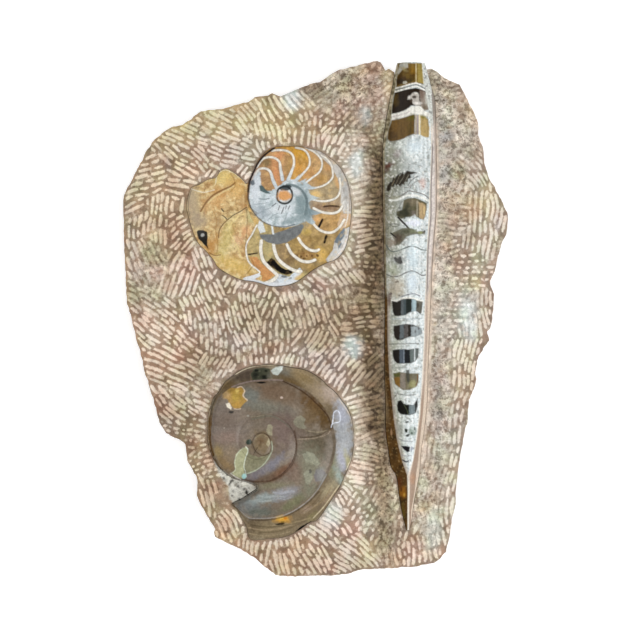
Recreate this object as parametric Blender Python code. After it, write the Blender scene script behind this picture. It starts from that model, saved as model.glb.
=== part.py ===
"""Ammonite and orthoceras plate.

A slab of brown limestone with a chiselled face and a broken rim, lying on its sawn
back. Three polished fossils are set in sockets in its face: an ammonite cut in
section, a second ammonite raised in relief in a skirt of its host stone, and a long
orthoceras that stands up as a ridge.

Metres. +Z points out of the chiselled face and +Y towards the cut end of the
orthoceras. The origin is under the middle of the plate, on the surface it lies on.
"""

import math
import random

import bpy
from mathutils import Vector, noise
from mathutils.geometry import delaunay_2d_cdt

MM = 0.001

# Driving dimensions
SLAB_THICKNESS = 34 * MM  # from the sawn back to the chiselled face
SOCKET_DEPTH = 10 * MM
GAP = 0.3 * MM  # between a fossil and its socket
FOOT = 0.9 * MM  # how far a fossil's lowest polished edge stands over the face
UPPER_DOME = 3.6 * MM  # height of the cut ammonite over the face
LOWER_RIM = 6.0 * MM  # height of the raised ammonite at the edge of its disc
WHORL_SWELL = 2.2 * MM  # how much its widest whorl swells between its seams
WHORL_WIDTH = 22 * MM
DISC_DOME = 1.2 * MM  # how much the middle of the disc stands over its edge

# Spacing of the facets
SLAB_SPACING = 6.0 * MM
RIM_SPACING = 5.5 * MM
RIM_JITTER = 0.9 * MM  # points added to the rim are set inwards by up to this
FOSSIL_SPACING = 4.6 * MM
SHAKE = 0.22  # how far a point is moved at random, as a share of the spacing
# How far the points keep off edges and creases, as shares of the spacing
RIM_CLEARANCE = 0.55
SOCKET_CLEARANCE = 0.35
OUTLINE_CLEARANCE = 0.5
CREASE_CLEARANCE = 0.6
STATION_CLEARANCE = 0.4
SEEDS = {"rim": 5, "face": 11, "lumps": 23, "upper": 31, "lower": 47}

# The chiselled face
LUMP = 0.55 * MM  # unevenness left by the chisel, either way
SWELL = 0.9 * MM  # long low waves of the face
SWELL_LENGTH = 38 * MM
EDGE_DROP = 2.0 * MM  # the face falls this much at the rim
EDGE_WIDTH = 9 * MM
EDGE_CHIPS = 2.2 * MM  # chips broken out of the rim fall up to this much further
CHIP_LENGTH = 10 * MM
CHIP_LAYER = 1  # takes the chips' noise from another level than the swell's
NOISE_PEAK = 0.5  # smooth noise runs to about this, either way
LEVEL_RING = 12 * MM  # the face is level within this distance of a fossil
RIGHT_SLOPE = 6.5 * MM  # fall of the long right-hand slope
RIGHT_SLOPE_TOP = (86, 150)  # the crest of that slope runs between these two points
RIGHT_SLOPE_FOOT = (74, -150)
RIGHT_SLOPE_WIDTH = 26 * MM
MOAT_DEPTH = 1.4 * MM  # the trough along the left side of the orthoceras
MOAT_WIDTH = 4.0 * MM
MOAT = [(37.5, 126), (37, 100), (36.5, 60), (37.5, 12), (38, -30), (39, -76), (43, -120), (44, -146)]

# The broken wall, from the top down: share of the edge's height, inset from the
# outline, and roughness. The outline itself is the widest ring.
TOP_INSET = (0.9 * MM, 1.5 * MM)
WALL_RINGS = [
    (0.88, 0.2 * MM, 1.5 * MM),
    (0.72, 0.4 * MM, 2.4 * MM),
    (0.57, 0.0, 0.0),
    (0.44, 1.0 * MM, 2.6 * MM),
    (0.29, 0.5 * MM, 3.0 * MM),
    (0.13, 2.2 * MM, 3.0 * MM),
    (0.0, 3.2 * MM, 2.6 * MM),
]
WALL_NOISE_LENGTH = 12 * MM

# Outlines, in millimetres from the middle of the plate, clockwise seen from above

SLAB_OUTLINE = [
    # upper left, from the left end to the broken peak
    (-116.7, 68), (-116.4, 74), (-114.5, 78), (-111.5, 83.5), (-108.5, 89),
    (-105.5, 95), (-103, 100), (-99.5, 106.5), (-95.5, 110), (-92, 112.5),
    (-87.5, 115.5), (-81.5, 117), (-75.5, 121), (-69.5, 125), (-65.5, 126),
    (-57.5, 126.5), (-48.5, 129), (-39.5, 131.5), (-37, 133.5), (-29, 134.5),
    (-26.5, 136), (-21.5, 134.5), (-15.5, 137), (-9.5, 139.5), (-2.5, 142),
    (2.5, 143), (8.5, 147), (14.5, 150.5), (21.5, 152), (32.5, 155),
    (37.2, 156.1),
    # the notched top edge on both sides of the orthoceras
    (39, 155), (42, 149.5), (44, 151), (47, 148.5), (49, 150.5), (56, 151.5),
    (62.5, 150.5), (65, 150), (69.5, 151), (74.5, 148), (77.5, 145.5),
    (84, 142), (86.5, 141),
    # right side
    (89.5, 136.5), (92.5, 131), (97, 121.5), (98.5, 118.5), (98.7, 110.5),
    (101.5, 104.5), (102.3, 95), (104.5, 89), (105.6, 85), (109, 79.5),
    (114, 70), (116.7, 63), (116.7, 60), (115.8, 51), (113.5, 46.5),
    (111, 38), (108.5, 27), (106.2, 23), (106.2, 20.5), (108.6, 14.5),
    (108, 2), (106.2, -6), (104.4, -8), (105.6, -13.5), (103, -17),
    (99, -23), (96.5, -33.5), (97.8, -37), (96.5, -42), (93, -49.5),
    (91.8, -64), (89, -75), (87.6, -81), (85.8, -94), (84.6, -106),
    (84.6, -112), (82.2, -122), (81, -131), (78.6, -141), (75, -145),
    (71.5, -148),
    # bottom
    (59.5, -150), (44.5, -151), (26.5, -152), (20, -154), (8.5, -155.3),
    (-9.5, -156.1), (-15.5, -155.8), (-24.5, -155), (-30.5, -150.5),
    (-36, -145.5), (-45.5, -139.5), (-54.5, -135.5), (-61, -132),
    (-61.8, -129.5), (-61, -127.5), (-64, -122), (-69.5, -113),
    (-72, -107), (-71.7, -98), (-73, -95), (-78, -86), (-79.2, -76.5),
    # left side
    (-83, -73.5), (-90.5, -69.5), (-95, -63), (-97, -54), (-101, -41),
    (-104, -31), (-106, -22.5), (-109, -12), (-112, 0), (-114.5, 11),
    (-115.5, 35), (-116.4, 53),
]

UPPER_OUTLINE = [
    # the cut coil, over the top, down the right side and along the bottom
    (-41.5, 80.5), (-39, 85), (-37, 89), (-35, 94), (-32, 98), (-29, 100.5),
    (-26, 102), (-21, 103), (-15.5, 103), (-9.5, 103), (-3.5, 101.5),
    (2.5, 100), (8.5, 96), (13, 92), (16, 88), (18.5, 83), (20, 77),
    (21, 69), (21, 62), (20.5, 56.5), (19, 47.5), (17, 41.5), (12.5, 36),
    (5.5, 33), (-2, 29), (-6, 26), (-10, 23), (-15, 20.5), (-21.5, 19.5),
    (-27.5, 19.5), (-36.5, 22),
    # the body chamber
    (-45.5, 23.5), (-54, 27.5), (-59, 31), (-61, 34.5), (-65.5, 40),
    (-70, 44.5), (-72.5, 49), (-75, 56), (-76.5, 62), (-77.5, 67.5),
    (-75.5, 76.5), (-73.5, 79), (-70, 80), (-65, 83), (-60.5, 84),
    (-59, 85.5), (-57.5, 88), (-54, 89.5), (-50.5, 88), (-47, 85.5),
    (-44, 83),
]
UPPER_CENTRE = (-19, 73.5)
# The crease where the coil stands over the body chamber
CREASE = [(-41.6, 78.5), (-41.8, 74), (-41.6, 68), (-39.5, 64.5), (-36.5, 62.5)]
CREASE_DEPTH = 2.2 * MM
CREASE_WIDTH = 1.7 * MM
# The body chamber lies left of this line, given as y and x, and is less smooth
CHAMBER_LINE = [(110, -41.6), (66, -41.6), (58, -41), (44, -42), (32, -37), (25, -43), (10, -43)]
CHAMBER_DROP = 0.8 * MM
CHAMBER_LUMP = 0.6 * MM
CHAMBER_LUMP_LENGTH = 9 * MM
EDGE_ROUNDING = 3 * MM
BEVEL = 1.3 * MM  # the second line of points lies this far inside the outline
DOME_SHARE = 0.3  # of the height is a dome over the whole fossil
LOWEST = 0.5 * FOOT  # no polished surface is lower than this over the face

LOWER_OUTLINE = [
    # left, over the top and down the right side of the skirt
    (-65, -67), (-64.5, -58), (-63, -53), (-61.5, -48), (-58, -44),
    (-55, -39), (-50.5, -35), (-45.5, -31.5), (-40.5, -29.5), (-35, -28.5),
    (-26.5, -28), (-15.5, -29.5), (-7, -31), (-1.5, -33.5), (3.5, -37),
    (7, -40.5), (11.5, -44.5), (15.5, -49.5), (19, -54.5), (21, -60),
    (22, -65), (22.7, -73), (21.5, -82.5), (19.5, -89), (17, -94.5),
    (14, -101), (10, -107.5), (5.5, -114.5), (0.5, -121),
    # bottom, up to the aperture
    (-4, -122.5), (-12, -128), (-19, -131), (-27.5, -132), (-39, -132.5),
    (-41.5, -125.5), (-45, -119), (-47.5, -114.5), (-50.5, -111.5),
    # the notch between the aperture and the whorl before it
    (-45, -108.5), (-40.5, -105.5), (-35.5, -102), (-38, -99.5),
    (-43, -98), (-48.5, -96.5), (-52, -94.5), (-56.5, -91),
    (-60.5, -86), (-63.5, -79.5), (-64.8, -73.5),
]
LOWER_CENTRE = (-33, -74)
# Edge of the coiled disc, then the spiral seam inside it: degrees anticlockwise from
# the +X direction, starting at the aperture, and distance from the centre
APERTURE_ANGLE = -112
SEAM = [
    (-125, 38), (-112, 41), (-100, 44.5), (-90, 45.6), (-45, 43.8), (0, 45),
    (30, 43), (60, 40), (90, 37), (110, 37.3), (135, 36.5), (160, 31),
    (215, 28.7), (255, 25.8), (290, 22.6), (360, 20.9), (407, 19),
    (445, 16.4), (480, 14.8), (560, 12), (650, 8.6), (720, 5.7), (1100, 5.7),
]
SEAM_END = 700  # degrees at which the seam reaches the round first chamber
NUCLEUS_RADIUS = 5.7
WRAP_ANGLE = 240  # angles along the coil start here, in the notch
WHORLS = 3
WHORL_FLATNESS = 0.7  # 1 is a round whorl, less is a flatter one
# Degrees at which points lie on the edge of the disc, on the seam and round the hub
DISC_EDGE_ANGLES = range(APERTURE_ANGLE + 8, 132, 7)
SEAM_ANGLES = range(268, SEAM_END, 12)
HUB_ANGLES = range(0, 360, 60)
HUB_SHARE = 0.55  # of the first chamber's radius

# The orthoceras, from its cut end down: y, left foot, ridge, right foot, and the
# height of the ridge over the face, all in millimetres
ORTHOCERAS = [
    (152.9, 48.6, 58.2, 65.4, 6.4),
    (140.0, 46.2, 58.5, 68.7, 7.2),
    (131.0, 44.4, 58.8, 71.1, 7.9),
    (119.0, 42.3, 59.1, 71.7, 8.7),
    (101.0, 40.2, 59.4, 72.0, 9.4),
    (71.0, 40.2, 59.1, 72.3, 9.6),
    (41.0, 40.8, 58.5, 70.2, 9.4),
    (11.0, 41.4, 57.9, 68.7, 9.0),
    (-25.0, 41.2, 57.3, 67.2, 8.5),
    (-49.0, 41.7, 56.7, 66.6, 8.0),
    (-67.0, 42.0, 56.4, 64.8, 7.4),
    (-79.0, 43.5, 56.1, 63.0, 6.8),
    (-89.2, 45.2, 55.8, 62.2, 6.2),
    (-95.0, 48.4, 55.4, 61.6, 5.6),
    (-109.0, 50.4, 55.2, 58.8, 3.9),
    (-120.0, 52.6, 55.2, 57.4, 2.4),
    (-127.0, 54.4, 55.2, 56.0, 1.2),
]
STATION_LENGTH = 11 * MM
FLANK_STEPS = 5
ROUNDNESS = 0.72  # 1 is a round back, 0 is a sharp roof
TIP_FOOT = 0.5  # at the thin end the foot stands this share of the ridge's height
SOCKET_OVERSHOOT = 14  # millimetres past the rim, where the socket is open

MATERIALS = {
    "chiselled_limestone": ((0.42, 0.31, 0.23), 0.92),
    "cut_ammonite": ((0.68, 0.50, 0.26), 0.30),
    "grey_limestone": ((0.30, 0.26, 0.22), 0.28),
    "orthoceras_calcite": ((0.72, 0.70, 0.66), 0.28),
}


def metres(path):
    """A path of millimetres as 2-D vectors in metres."""
    return [Vector(point) * MM for point in path]


def clear_scene():
    for item in list(bpy.data.objects):
        bpy.data.objects.remove(item)


def make_material(name):
    colour, roughness = MATERIALS[name]
    material = bpy.data.materials.new(name)
    material.use_nodes = True
    shader = material.node_tree.nodes["Principled BSDF"]
    shader.inputs["Base Color"].default_value = (*colour, 1.0)
    shader.inputs["Roughness"].default_value = roughness
    shader.inputs["Metallic"].default_value = 0.0
    return material


def make_object(name, points, faces, material):
    mesh = bpy.data.meshes.new(name)
    mesh.from_pydata([tuple(point) for point in points], [], faces)
    mesh.validate()
    mesh.materials.append(make_material(material))
    item = bpy.data.objects.new(name, mesh)
    bpy.context.scene.collection.objects.link(item)
    return item


def smooth(share):
    """0 to 1 with level ends."""
    share = min(max(share, 0.0), 1.0)
    return share * share * (3 - 2 * share)


def interpolate(rows, at):
    """A row of a table, read between its entries by the first column."""
    for low, high in zip(rows, rows[1:]):
        if (low[0] - at) * (high[0] - at) <= 0:
            share = (at - low[0]) / (high[0] - low[0])
            return [a + (b - a) * share for a, b in zip(low[1:], high[1:])]
    raise ValueError(f"{at} is outside the table")


def nearest_on_segment(point, start, end):
    along = end - start
    share = (point - start).dot(along) / along.length_squared
    return start + along * min(max(share, 0.0), 1.0)


def distance_to(point, path, closed=False):
    ends = path[1:] + path[:1] if closed else path[1:]
    return min((point - nearest_on_segment(point, a, b)).length for a, b in zip(path, ends))


def inside(point, outline):
    crossings = 0
    for a, b in zip(outline, outline[1:] + outline[:1]):
        if (a.y > point.y) != (b.y > point.y):
            crossing_x = a.x + (point.y - a.y) * (b.x - a.x) / (b.y - a.y)
            crossings += point.x < crossing_x
    return crossings % 2 == 1


def grown(outline, amount):
    """A clockwise outline moved outwards by an even amount."""
    result = []
    for before, here, after in zip(outline[-1:] + outline, outline, outline[1:] + outline[:1]):
        first = (here - before).normalized()
        second = (after - here).normalized()
        outward = Vector((-first.y - second.y, first.x + second.x)).normalized()
        reach = amount / max(outward.dot(Vector((-first.y, first.x))), 0.5)
        result.append(here + outward * reach)
    return result


def split_long_edges(outline, limit, seed):
    """An outline with points added on its long edges, each set a little inwards."""
    draw = random.Random(seed)
    result = []
    for here, after in zip(outline, outline[1:] + outline[:1]):
        result.append(here)
        count = math.ceil((after - here).length / limit)
        for step in range(1, count):
            result.append(inset(here.lerp(after, step / count), draw.uniform(0, RIM_JITTER)))
    return result


def scattered(outline, spacing, keep_off, seed):
    """A triangular net of points inside an outline, each moved a little at random."""
    draw = random.Random(seed)
    row_height = spacing * math.sqrt(3) / 2
    left = min(point.x for point in outline)
    right = max(point.x for point in outline)
    bottom = min(point.y for point in outline)
    top = max(point.y for point in outline)
    points = []
    for row in range(int((top - bottom) / row_height) + 1):
        for column in range(int((right - left) / spacing) + 2):
            x = left + (column + 0.5 * (row % 2) + draw.uniform(-SHAKE, SHAKE)) * spacing
            y = bottom + row * row_height + draw.uniform(-SHAKE, SHAKE) * spacing
            point = Vector((x, y))
            if inside(point, outline) and all(
                distance_to(point, path) > clear for path, clear in keep_off
            ):
                points.append(point)
    return points


def relief(name, rim, creases, inner, height, rings, material):
    """A closed solid: facets over the rim at the given height, walls through the rings
    below it, and a flat back."""
    points = list(rim)
    edges = []
    for crease in creases:
        first = len(points)
        points += crease
        edges += [(i, i + 1) for i in range(first, len(points) - 1)]
    points += inner
    order = list(range(len(rim)))[::-1]
    flat, _, faces, sources, _, _ = delaunay_2d_cdt(points, edges, [order], 1, 1e-6)
    place = {source: index for index, found in enumerate(sources) for source in found}
    solid = [(point.x, point.y, height(point)) for point in flat]
    faces = [list(face) for face in faces]
    above = [place[i] for i in range(len(rim))]
    for ring in rings:
        below = list(range(len(solid), len(solid) + len(ring)))
        solid += ring
        for i in range(len(ring)):
            j = (i + 1) % len(ring)
            faces.append([above[i], above[j], below[j], below[i]])
        above = below
    faces.append(above)
    return make_object(name, solid, faces, material)


def fossil_outlines():
    return {
        "upper": metres(UPPER_OUTLINE),
        "lower": metres(LOWER_OUTLINE),
        "orthoceras": orthoceras_outline(),
    }


def orthoceras_outline():
    left = [(row[1], row[0]) for row in ORTHOCERAS]
    right = [(row[3], row[0]) for row in ORTHOCERAS]
    return metres(right + left[::-1])


def face_height(point, rim, fossils):
    """Height of the chiselled face, without the marks of single blows."""
    near_fossil = min(distance_to(point, outline, True) for outline in fossils.values())
    level = smooth(near_fossil / LEVEL_RING)
    swell = noise.noise(Vector((point.x, point.y, 0)) / SWELL_LENGTH) * SWELL
    edge = 1 - smooth(distance_to(point, rim, True) / EDGE_WIDTH)
    chip = max(noise.noise(Vector((point.x, point.y, CHIP_LAYER)) / CHIP_LENGTH), 0.0)
    top, foot = metres([RIGHT_SLOPE_TOP, RIGHT_SLOPE_FOOT])
    share = (top.y - point.y) / (top.y - foot.y)
    crest_x = top.x + (foot.x - top.x) * share
    slope = smooth((point.x - crest_x) / RIGHT_SLOPE_WIDTH)
    moat = 1 - smooth(distance_to(point, metres(MOAT)) / MOAT_WIDTH)
    rim_fall = (EDGE_DROP + EDGE_CHIPS * chip / NOISE_PEAK) * edge
    fall = rim_fall + RIGHT_SLOPE * slope + MOAT_DEPTH * moat
    return SLAB_THICKNESS + swell * level - fall


def inset(point, amount):
    """A point of the outline moved towards the middle of the plate."""
    return point * (1 - amount / point.length)


def rough(point, level):
    """0 to 1, changing along the wall and from ring to ring."""
    spot = Vector((point.x, point.y, level * SLAB_THICKNESS)) / WALL_NOISE_LENGTH
    return 0.5 + 0.5 * noise.noise(spot)


def make_slab(fossils):
    outline = split_long_edges(metres(SLAB_OUTLINE), RIM_SPACING, SEEDS["rim"])
    rim = [inset(point, TOP_INSET[0] + TOP_INSET[1] * rough(point, 1)) for point in outline]
    keep_off = [(rim + rim[:1], RIM_CLEARANCE * SLAB_SPACING)]
    keep_off += [(path + path[:1], SOCKET_CLEARANCE * SLAB_SPACING) for path in fossils.values()]
    inner = [
        point
        for point in scattered(rim, SLAB_SPACING, keep_off, SEEDS["face"])
        if not any(inside(point, path) for path in fossils.values())
    ]
    draw = random.Random(SEEDS["lumps"])

    def height(point):
        return face_height(point, rim, fossils) + draw.uniform(-LUMP, LUMP)

    rings = []
    for share, amount, roughness in WALL_RINGS:
        ring = []
        for point, edge in zip(outline, rim):
            moved = inset(point, amount + roughness * rough(point, share))
            ring.append((moved.x, moved.y, share * face_height(edge, rim, fossils)))
        rings.append(ring)
    return relief("matrix_slab", rim, [], inner, height, rings, "chiselled_limestone")


def make_socket(name, outline):
    """A cutter for the hole that a fossil is set in."""
    loop = grown(outline, GAP)
    floor = SLAB_THICKNESS - SOCKET_DEPTH
    count = len(loop)
    points = [(p.x, p.y, floor) for p in loop] + [(p.x, p.y, 2 * SLAB_THICKNESS) for p in loop]
    faces = [[i, (i + 1) % count, count + (i + 1) % count, count + i] for i in range(count)]
    faces += [list(range(count))[::-1], list(range(count, 2 * count))]
    cutter = make_object(name, points, [face[::-1] for face in faces], "chiselled_limestone")
    cutter.hide_render = True
    cutter.display_type = "WIRE"
    return cutter


def cut_sockets(slab, fossils):
    overshoot = Vector((0, SOCKET_OVERSHOOT)) * MM
    loops = dict(fossils)
    orthoceras = fossils["orthoceras"]
    loops["orthoceras"] = [orthoceras[-1] + overshoot, orthoceras[0] + overshoot] + orthoceras
    for name, loop in loops.items():
        cut = slab.modifiers.new(f"{name}_socket", "BOOLEAN")
        cut.object = make_socket(f"{name}_socket", loop)
        cut.operation = "DIFFERENCE"
        cut.solver = "EXACT"


def seat(outline):
    """The ring of a fossil's flat underside, just clear of the socket's floor."""
    floor = SLAB_THICKNESS - SOCKET_DEPTH + GAP
    return [(point.x, point.y, floor) for point in outline]


def round_edge(point, outline, width):
    """0 at a fossil's outline, rising to 1 further in."""
    return 1 - math.exp(-distance_to(point, outline, True) / width)


def inward(outline, amount):
    """A second line of points just inside an outline, for its rounded edge."""
    return [point for point in grown(outline, -amount) if inside(point, outline)]


def make_upper_ammonite(outline):
    centre = Vector(UPPER_CENTRE) * MM
    crease = metres(CREASE)
    chamber_line = [(y * MM, x * MM) for y, x in CHAMBER_LINE]
    reach = max((point - centre).length for point in outline)

    def height(point):
        rim = round_edge(point, outline, EDGE_ROUNDING)
        dome = 1 - ((point - centre).length / reach) ** 2
        top = FOOT + (UPPER_DOME - FOOT) * rim * (1 - DOME_SHARE + DOME_SHARE * dome)
        if point.x < interpolate(chamber_line, point.y)[0]:
            lump = noise.noise(Vector((point.x, point.y, 0)) / CHAMBER_LUMP_LENGTH)
            top -= (CHAMBER_DROP - CHAMBER_LUMP * lump) * rim
        groove = 1 - smooth(distance_to(point, crease) / CREASE_WIDTH)
        return SLAB_THICKNESS + max(top - CREASE_DEPTH * groove, LOWEST)

    shifts = (Vector((-CREASE_WIDTH, 0)), Vector((CREASE_WIDTH, 0)))
    creases = [crease] + [[point + shift for point in crease] for shift in shifts]
    keep_off = [
        (outline + outline[:1], OUTLINE_CLEARANCE * FOSSIL_SPACING),
        (crease, CREASE_CLEARANCE * FOSSIL_SPACING),
    ]
    inner = scattered(outline, FOSSIL_SPACING, keep_off, SEEDS["upper"])
    inner += inward(outline, BEVEL)
    rings = [seat(outline)]
    return relief("upper_ammonite", outline, creases, inner, height, rings, "cut_ammonite")


def seam_radius(angle):
    return interpolate(SEAM, angle)[0] * MM


def polar(point):
    """Distance from the centre of the lower ammonite and degrees along its coil."""
    offset = point - Vector(LOWER_CENTRE) * MM
    angle = math.degrees(math.atan2(offset.y, offset.x))
    return offset.length, (angle - WRAP_ANGLE) % 360 + WRAP_ANGLE - 360


def spiral_point(angle, radius):
    direction = Vector((math.cos(math.radians(angle)), math.sin(math.radians(angle))))
    return Vector(LOWER_CENTRE) * MM + direction * radius


def coil_height(radius, angle):
    """Height over the edge of the disc, whose whorls swell between the turns of the seam."""
    turns = [seam_radius(angle + 360 * turn) for turn in range(WHORLS)] + [0.0]
    outer, inner = next(pair for pair in zip(turns, turns[1:]) if radius >= pair[1])
    across = min((radius - inner) / (outer - inner), 1.0)
    swell = math.sin(math.pi * across) ** WHORL_FLATNESS * (outer - inner) / WHORL_WIDTH
    return DISC_DOME * smooth(1 - radius / turns[0]) + WHORL_SWELL * swell


def make_lower_ammonite(outline):
    def height(point):
        radius, angle = polar(point)
        edge = seam_radius(angle)
        to_outline = distance_to(point, outline, True)
        if radius > edge:
            share = to_outline / (to_outline + radius - edge)
            top = LOWER_RIM * share
        else:
            top = (LOWER_RIM + coil_height(radius, angle)) * round_edge(point, outline, MM)
        return SLAB_THICKNESS + max(top, FOOT)

    disc_edge = [spiral_point(angle, seam_radius(angle)) for angle in DISC_EDGE_ANGLES]
    seam = [spiral_point(angle, seam_radius(angle)) for angle in SEAM_ANGLES]
    hub = [spiral_point(angle, HUB_SHARE * NUCLEUS_RADIUS * MM) for angle in HUB_ANGLES]
    lines = [outline + outline[:1], disc_edge, seam]
    keep_off = [(line, OUTLINE_CLEARANCE * FOSSIL_SPACING) for line in lines]
    inner = scattered(outline, FOSSIL_SPACING, keep_off, SEEDS["lower"]) + hub
    creases = [disc_edge, seam]
    rings = [seat(outline)]
    return relief("lower_ammonite", outline, creases, inner, height, rings, "grey_limestone")


def flank(share):
    """Height share of a flank at a distance share from its foot to the ridge."""
    return ROUNDNESS * (1 - (1 - share) ** 2) + (1 - ROUNDNESS) * share


def orthoceras_section(y, left, ridge, right, crest):
    """One closed section across the orthoceras, from the left underside over the ridge."""
    floor = SLAB_THICKNESS - SOCKET_DEPTH + GAP
    foot = SLAB_THICKNESS + min(FOOT, TIP_FOOT * crest * MM)
    rise = SLAB_THICKNESS + crest * MM - foot
    across = [(left, floor)]
    for step in range(FLANK_STEPS):
        share = step / FLANK_STEPS
        across.append((left + (ridge - left) * share, foot + rise * flank(share)))
    across.append((ridge, foot + rise))
    for step in reversed(range(FLANK_STEPS)):
        share = step / FLANK_STEPS
        across.append((right + (ridge - right) * share, foot + rise * flank(share)))
    across.append((right, floor))
    return [(x * MM, y * MM, z) for x, z in across]


def make_orthoceras():
    ends = ORTHOCERAS[0][0], ORTHOCERAS[-1][0]
    stations = {row[0] for row in ORTHOCERAS}
    count = round((ends[0] - ends[1]) * MM / STATION_LENGTH)
    for i in range(count):
        middle = ends[0] + (ends[1] - ends[0]) * i / count
        if min(abs(middle - y) for y in stations) > STATION_CLEARANCE * STATION_LENGTH / MM:
            stations.add(middle)
    points = []
    faces = []
    for y in sorted(stations, reverse=True):
        section = orthoceras_section(y, *interpolate(ORTHOCERAS, y))
        points += section
        size = len(section)
        first = len(points) - 2 * size
        if first >= 0:
            for i in range(size):
                j = (i + 1) % size
                faces.append([first + j, first + i, first + size + i, first + size + j])
    faces.append(list(range(size)))
    faces.append(list(range(len(points) - size, len(points)))[::-1])
    return make_object("orthoceras", points, faces, "orthoceras_calcite")


def main():
    clear_scene()
    fossils = fossil_outlines()
    slab = make_slab(fossils)
    cut_sockets(slab, fossils)
    make_upper_ammonite(fossils["upper"])
    make_lower_ammonite(fossils["lower"])
    make_orthoceras()


main()
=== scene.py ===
"""Looks of the ammonite and orthoceras plate.

Each fossil and the slab get a fine mesh in place of the plain CAD solid, with the relief
of single chisel blows, the whorls, the orthoceras's ridge and the body chamber's step in the
mesh, and colours painted on its points by the functions below. Marks are given in pixels of
the photograph.
"""

import math
import random

import bpy
import numpy as np
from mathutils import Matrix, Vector, noise
from mathutils.geometry import delaunay_2d_cdt
from mathutils.kdtree import KDTree


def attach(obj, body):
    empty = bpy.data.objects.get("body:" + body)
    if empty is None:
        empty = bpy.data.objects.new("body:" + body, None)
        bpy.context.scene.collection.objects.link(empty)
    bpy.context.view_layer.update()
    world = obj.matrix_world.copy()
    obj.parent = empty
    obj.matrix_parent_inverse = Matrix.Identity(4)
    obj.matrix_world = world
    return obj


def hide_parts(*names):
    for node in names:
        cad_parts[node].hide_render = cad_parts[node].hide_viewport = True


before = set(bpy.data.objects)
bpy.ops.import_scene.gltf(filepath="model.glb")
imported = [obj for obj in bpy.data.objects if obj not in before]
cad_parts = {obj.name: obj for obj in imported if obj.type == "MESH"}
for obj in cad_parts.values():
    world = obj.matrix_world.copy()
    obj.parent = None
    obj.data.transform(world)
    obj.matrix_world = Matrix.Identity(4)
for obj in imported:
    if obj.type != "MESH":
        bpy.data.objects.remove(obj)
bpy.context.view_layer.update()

MM = 0.001

# The photograph: millimetres a pixel on the chiselled face, the pixel over the origin,
# and the camera
PIXEL = 0.6
ORIGIN = (316, 318.3)
IMAGE_CENTRE = (320, 320)
IMAGE_SIZE = 640
LENS = 85
SENSOR = 36
CAMERA_REACH = IMAGE_SIZE * PIXEL * MM * LENS / SENSOR

# Sizes that part.py gives
SLAB_THICKNESS = 34 * MM
SOCKET_DEPTH = 10 * MM
GAP = 0.3 * MM
FOOT = 0.9 * MM
UPPER_DOME = 3.6 * MM
LOWER_RIM = 6.0 * MM
WHORL_SWELL = 2.2 * MM
WHORL_WIDTH = 22 * MM
DISC_DOME = 1.2 * MM
FLOOR = SLAB_THICKNESS - SOCKET_DEPTH
SEAT = FLOOR + GAP

SWELL = 0.9 * MM
SWELL_LENGTH = 38 * MM
EDGE_DROP = 2.0 * MM
EDGE_WIDTH = 9 * MM
EDGE_CHIPS = 2.2 * MM
CHIP_LENGTH = 10 * MM
LEVEL_RING = 12 * MM
RIGHT_SLOPE = 6.5 * MM
RIGHT_SLOPE_LINE = ((86, 150), (74, -150))
RIGHT_SLOPE_WIDTH = 26 * MM
MOAT_DEPTH = 1.4 * MM
MOAT_WIDTH = 4.0 * MM
MOAT = [
    (37.5, 126), (37, 100), (36.5, 60), (37.5, 12), (38, -30), (39, -76), (43, -120), (44, -146),
]
WALL_NOISE_LENGTH = 12 * MM
# Share of the wall's height, inset and roughness in millimetres
WALL = [
    (1.0, 0.9, 1.5), (0.88, 0.2, 1.5), (0.72, 0.4, 2.4), (0.57, 0.0, 0.0),
    (0.44, 1.0, 2.6), (0.29, 0.5, 3.0), (0.13, 2.2, 3.0), (0.0, 3.2, 2.6),
]

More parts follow.
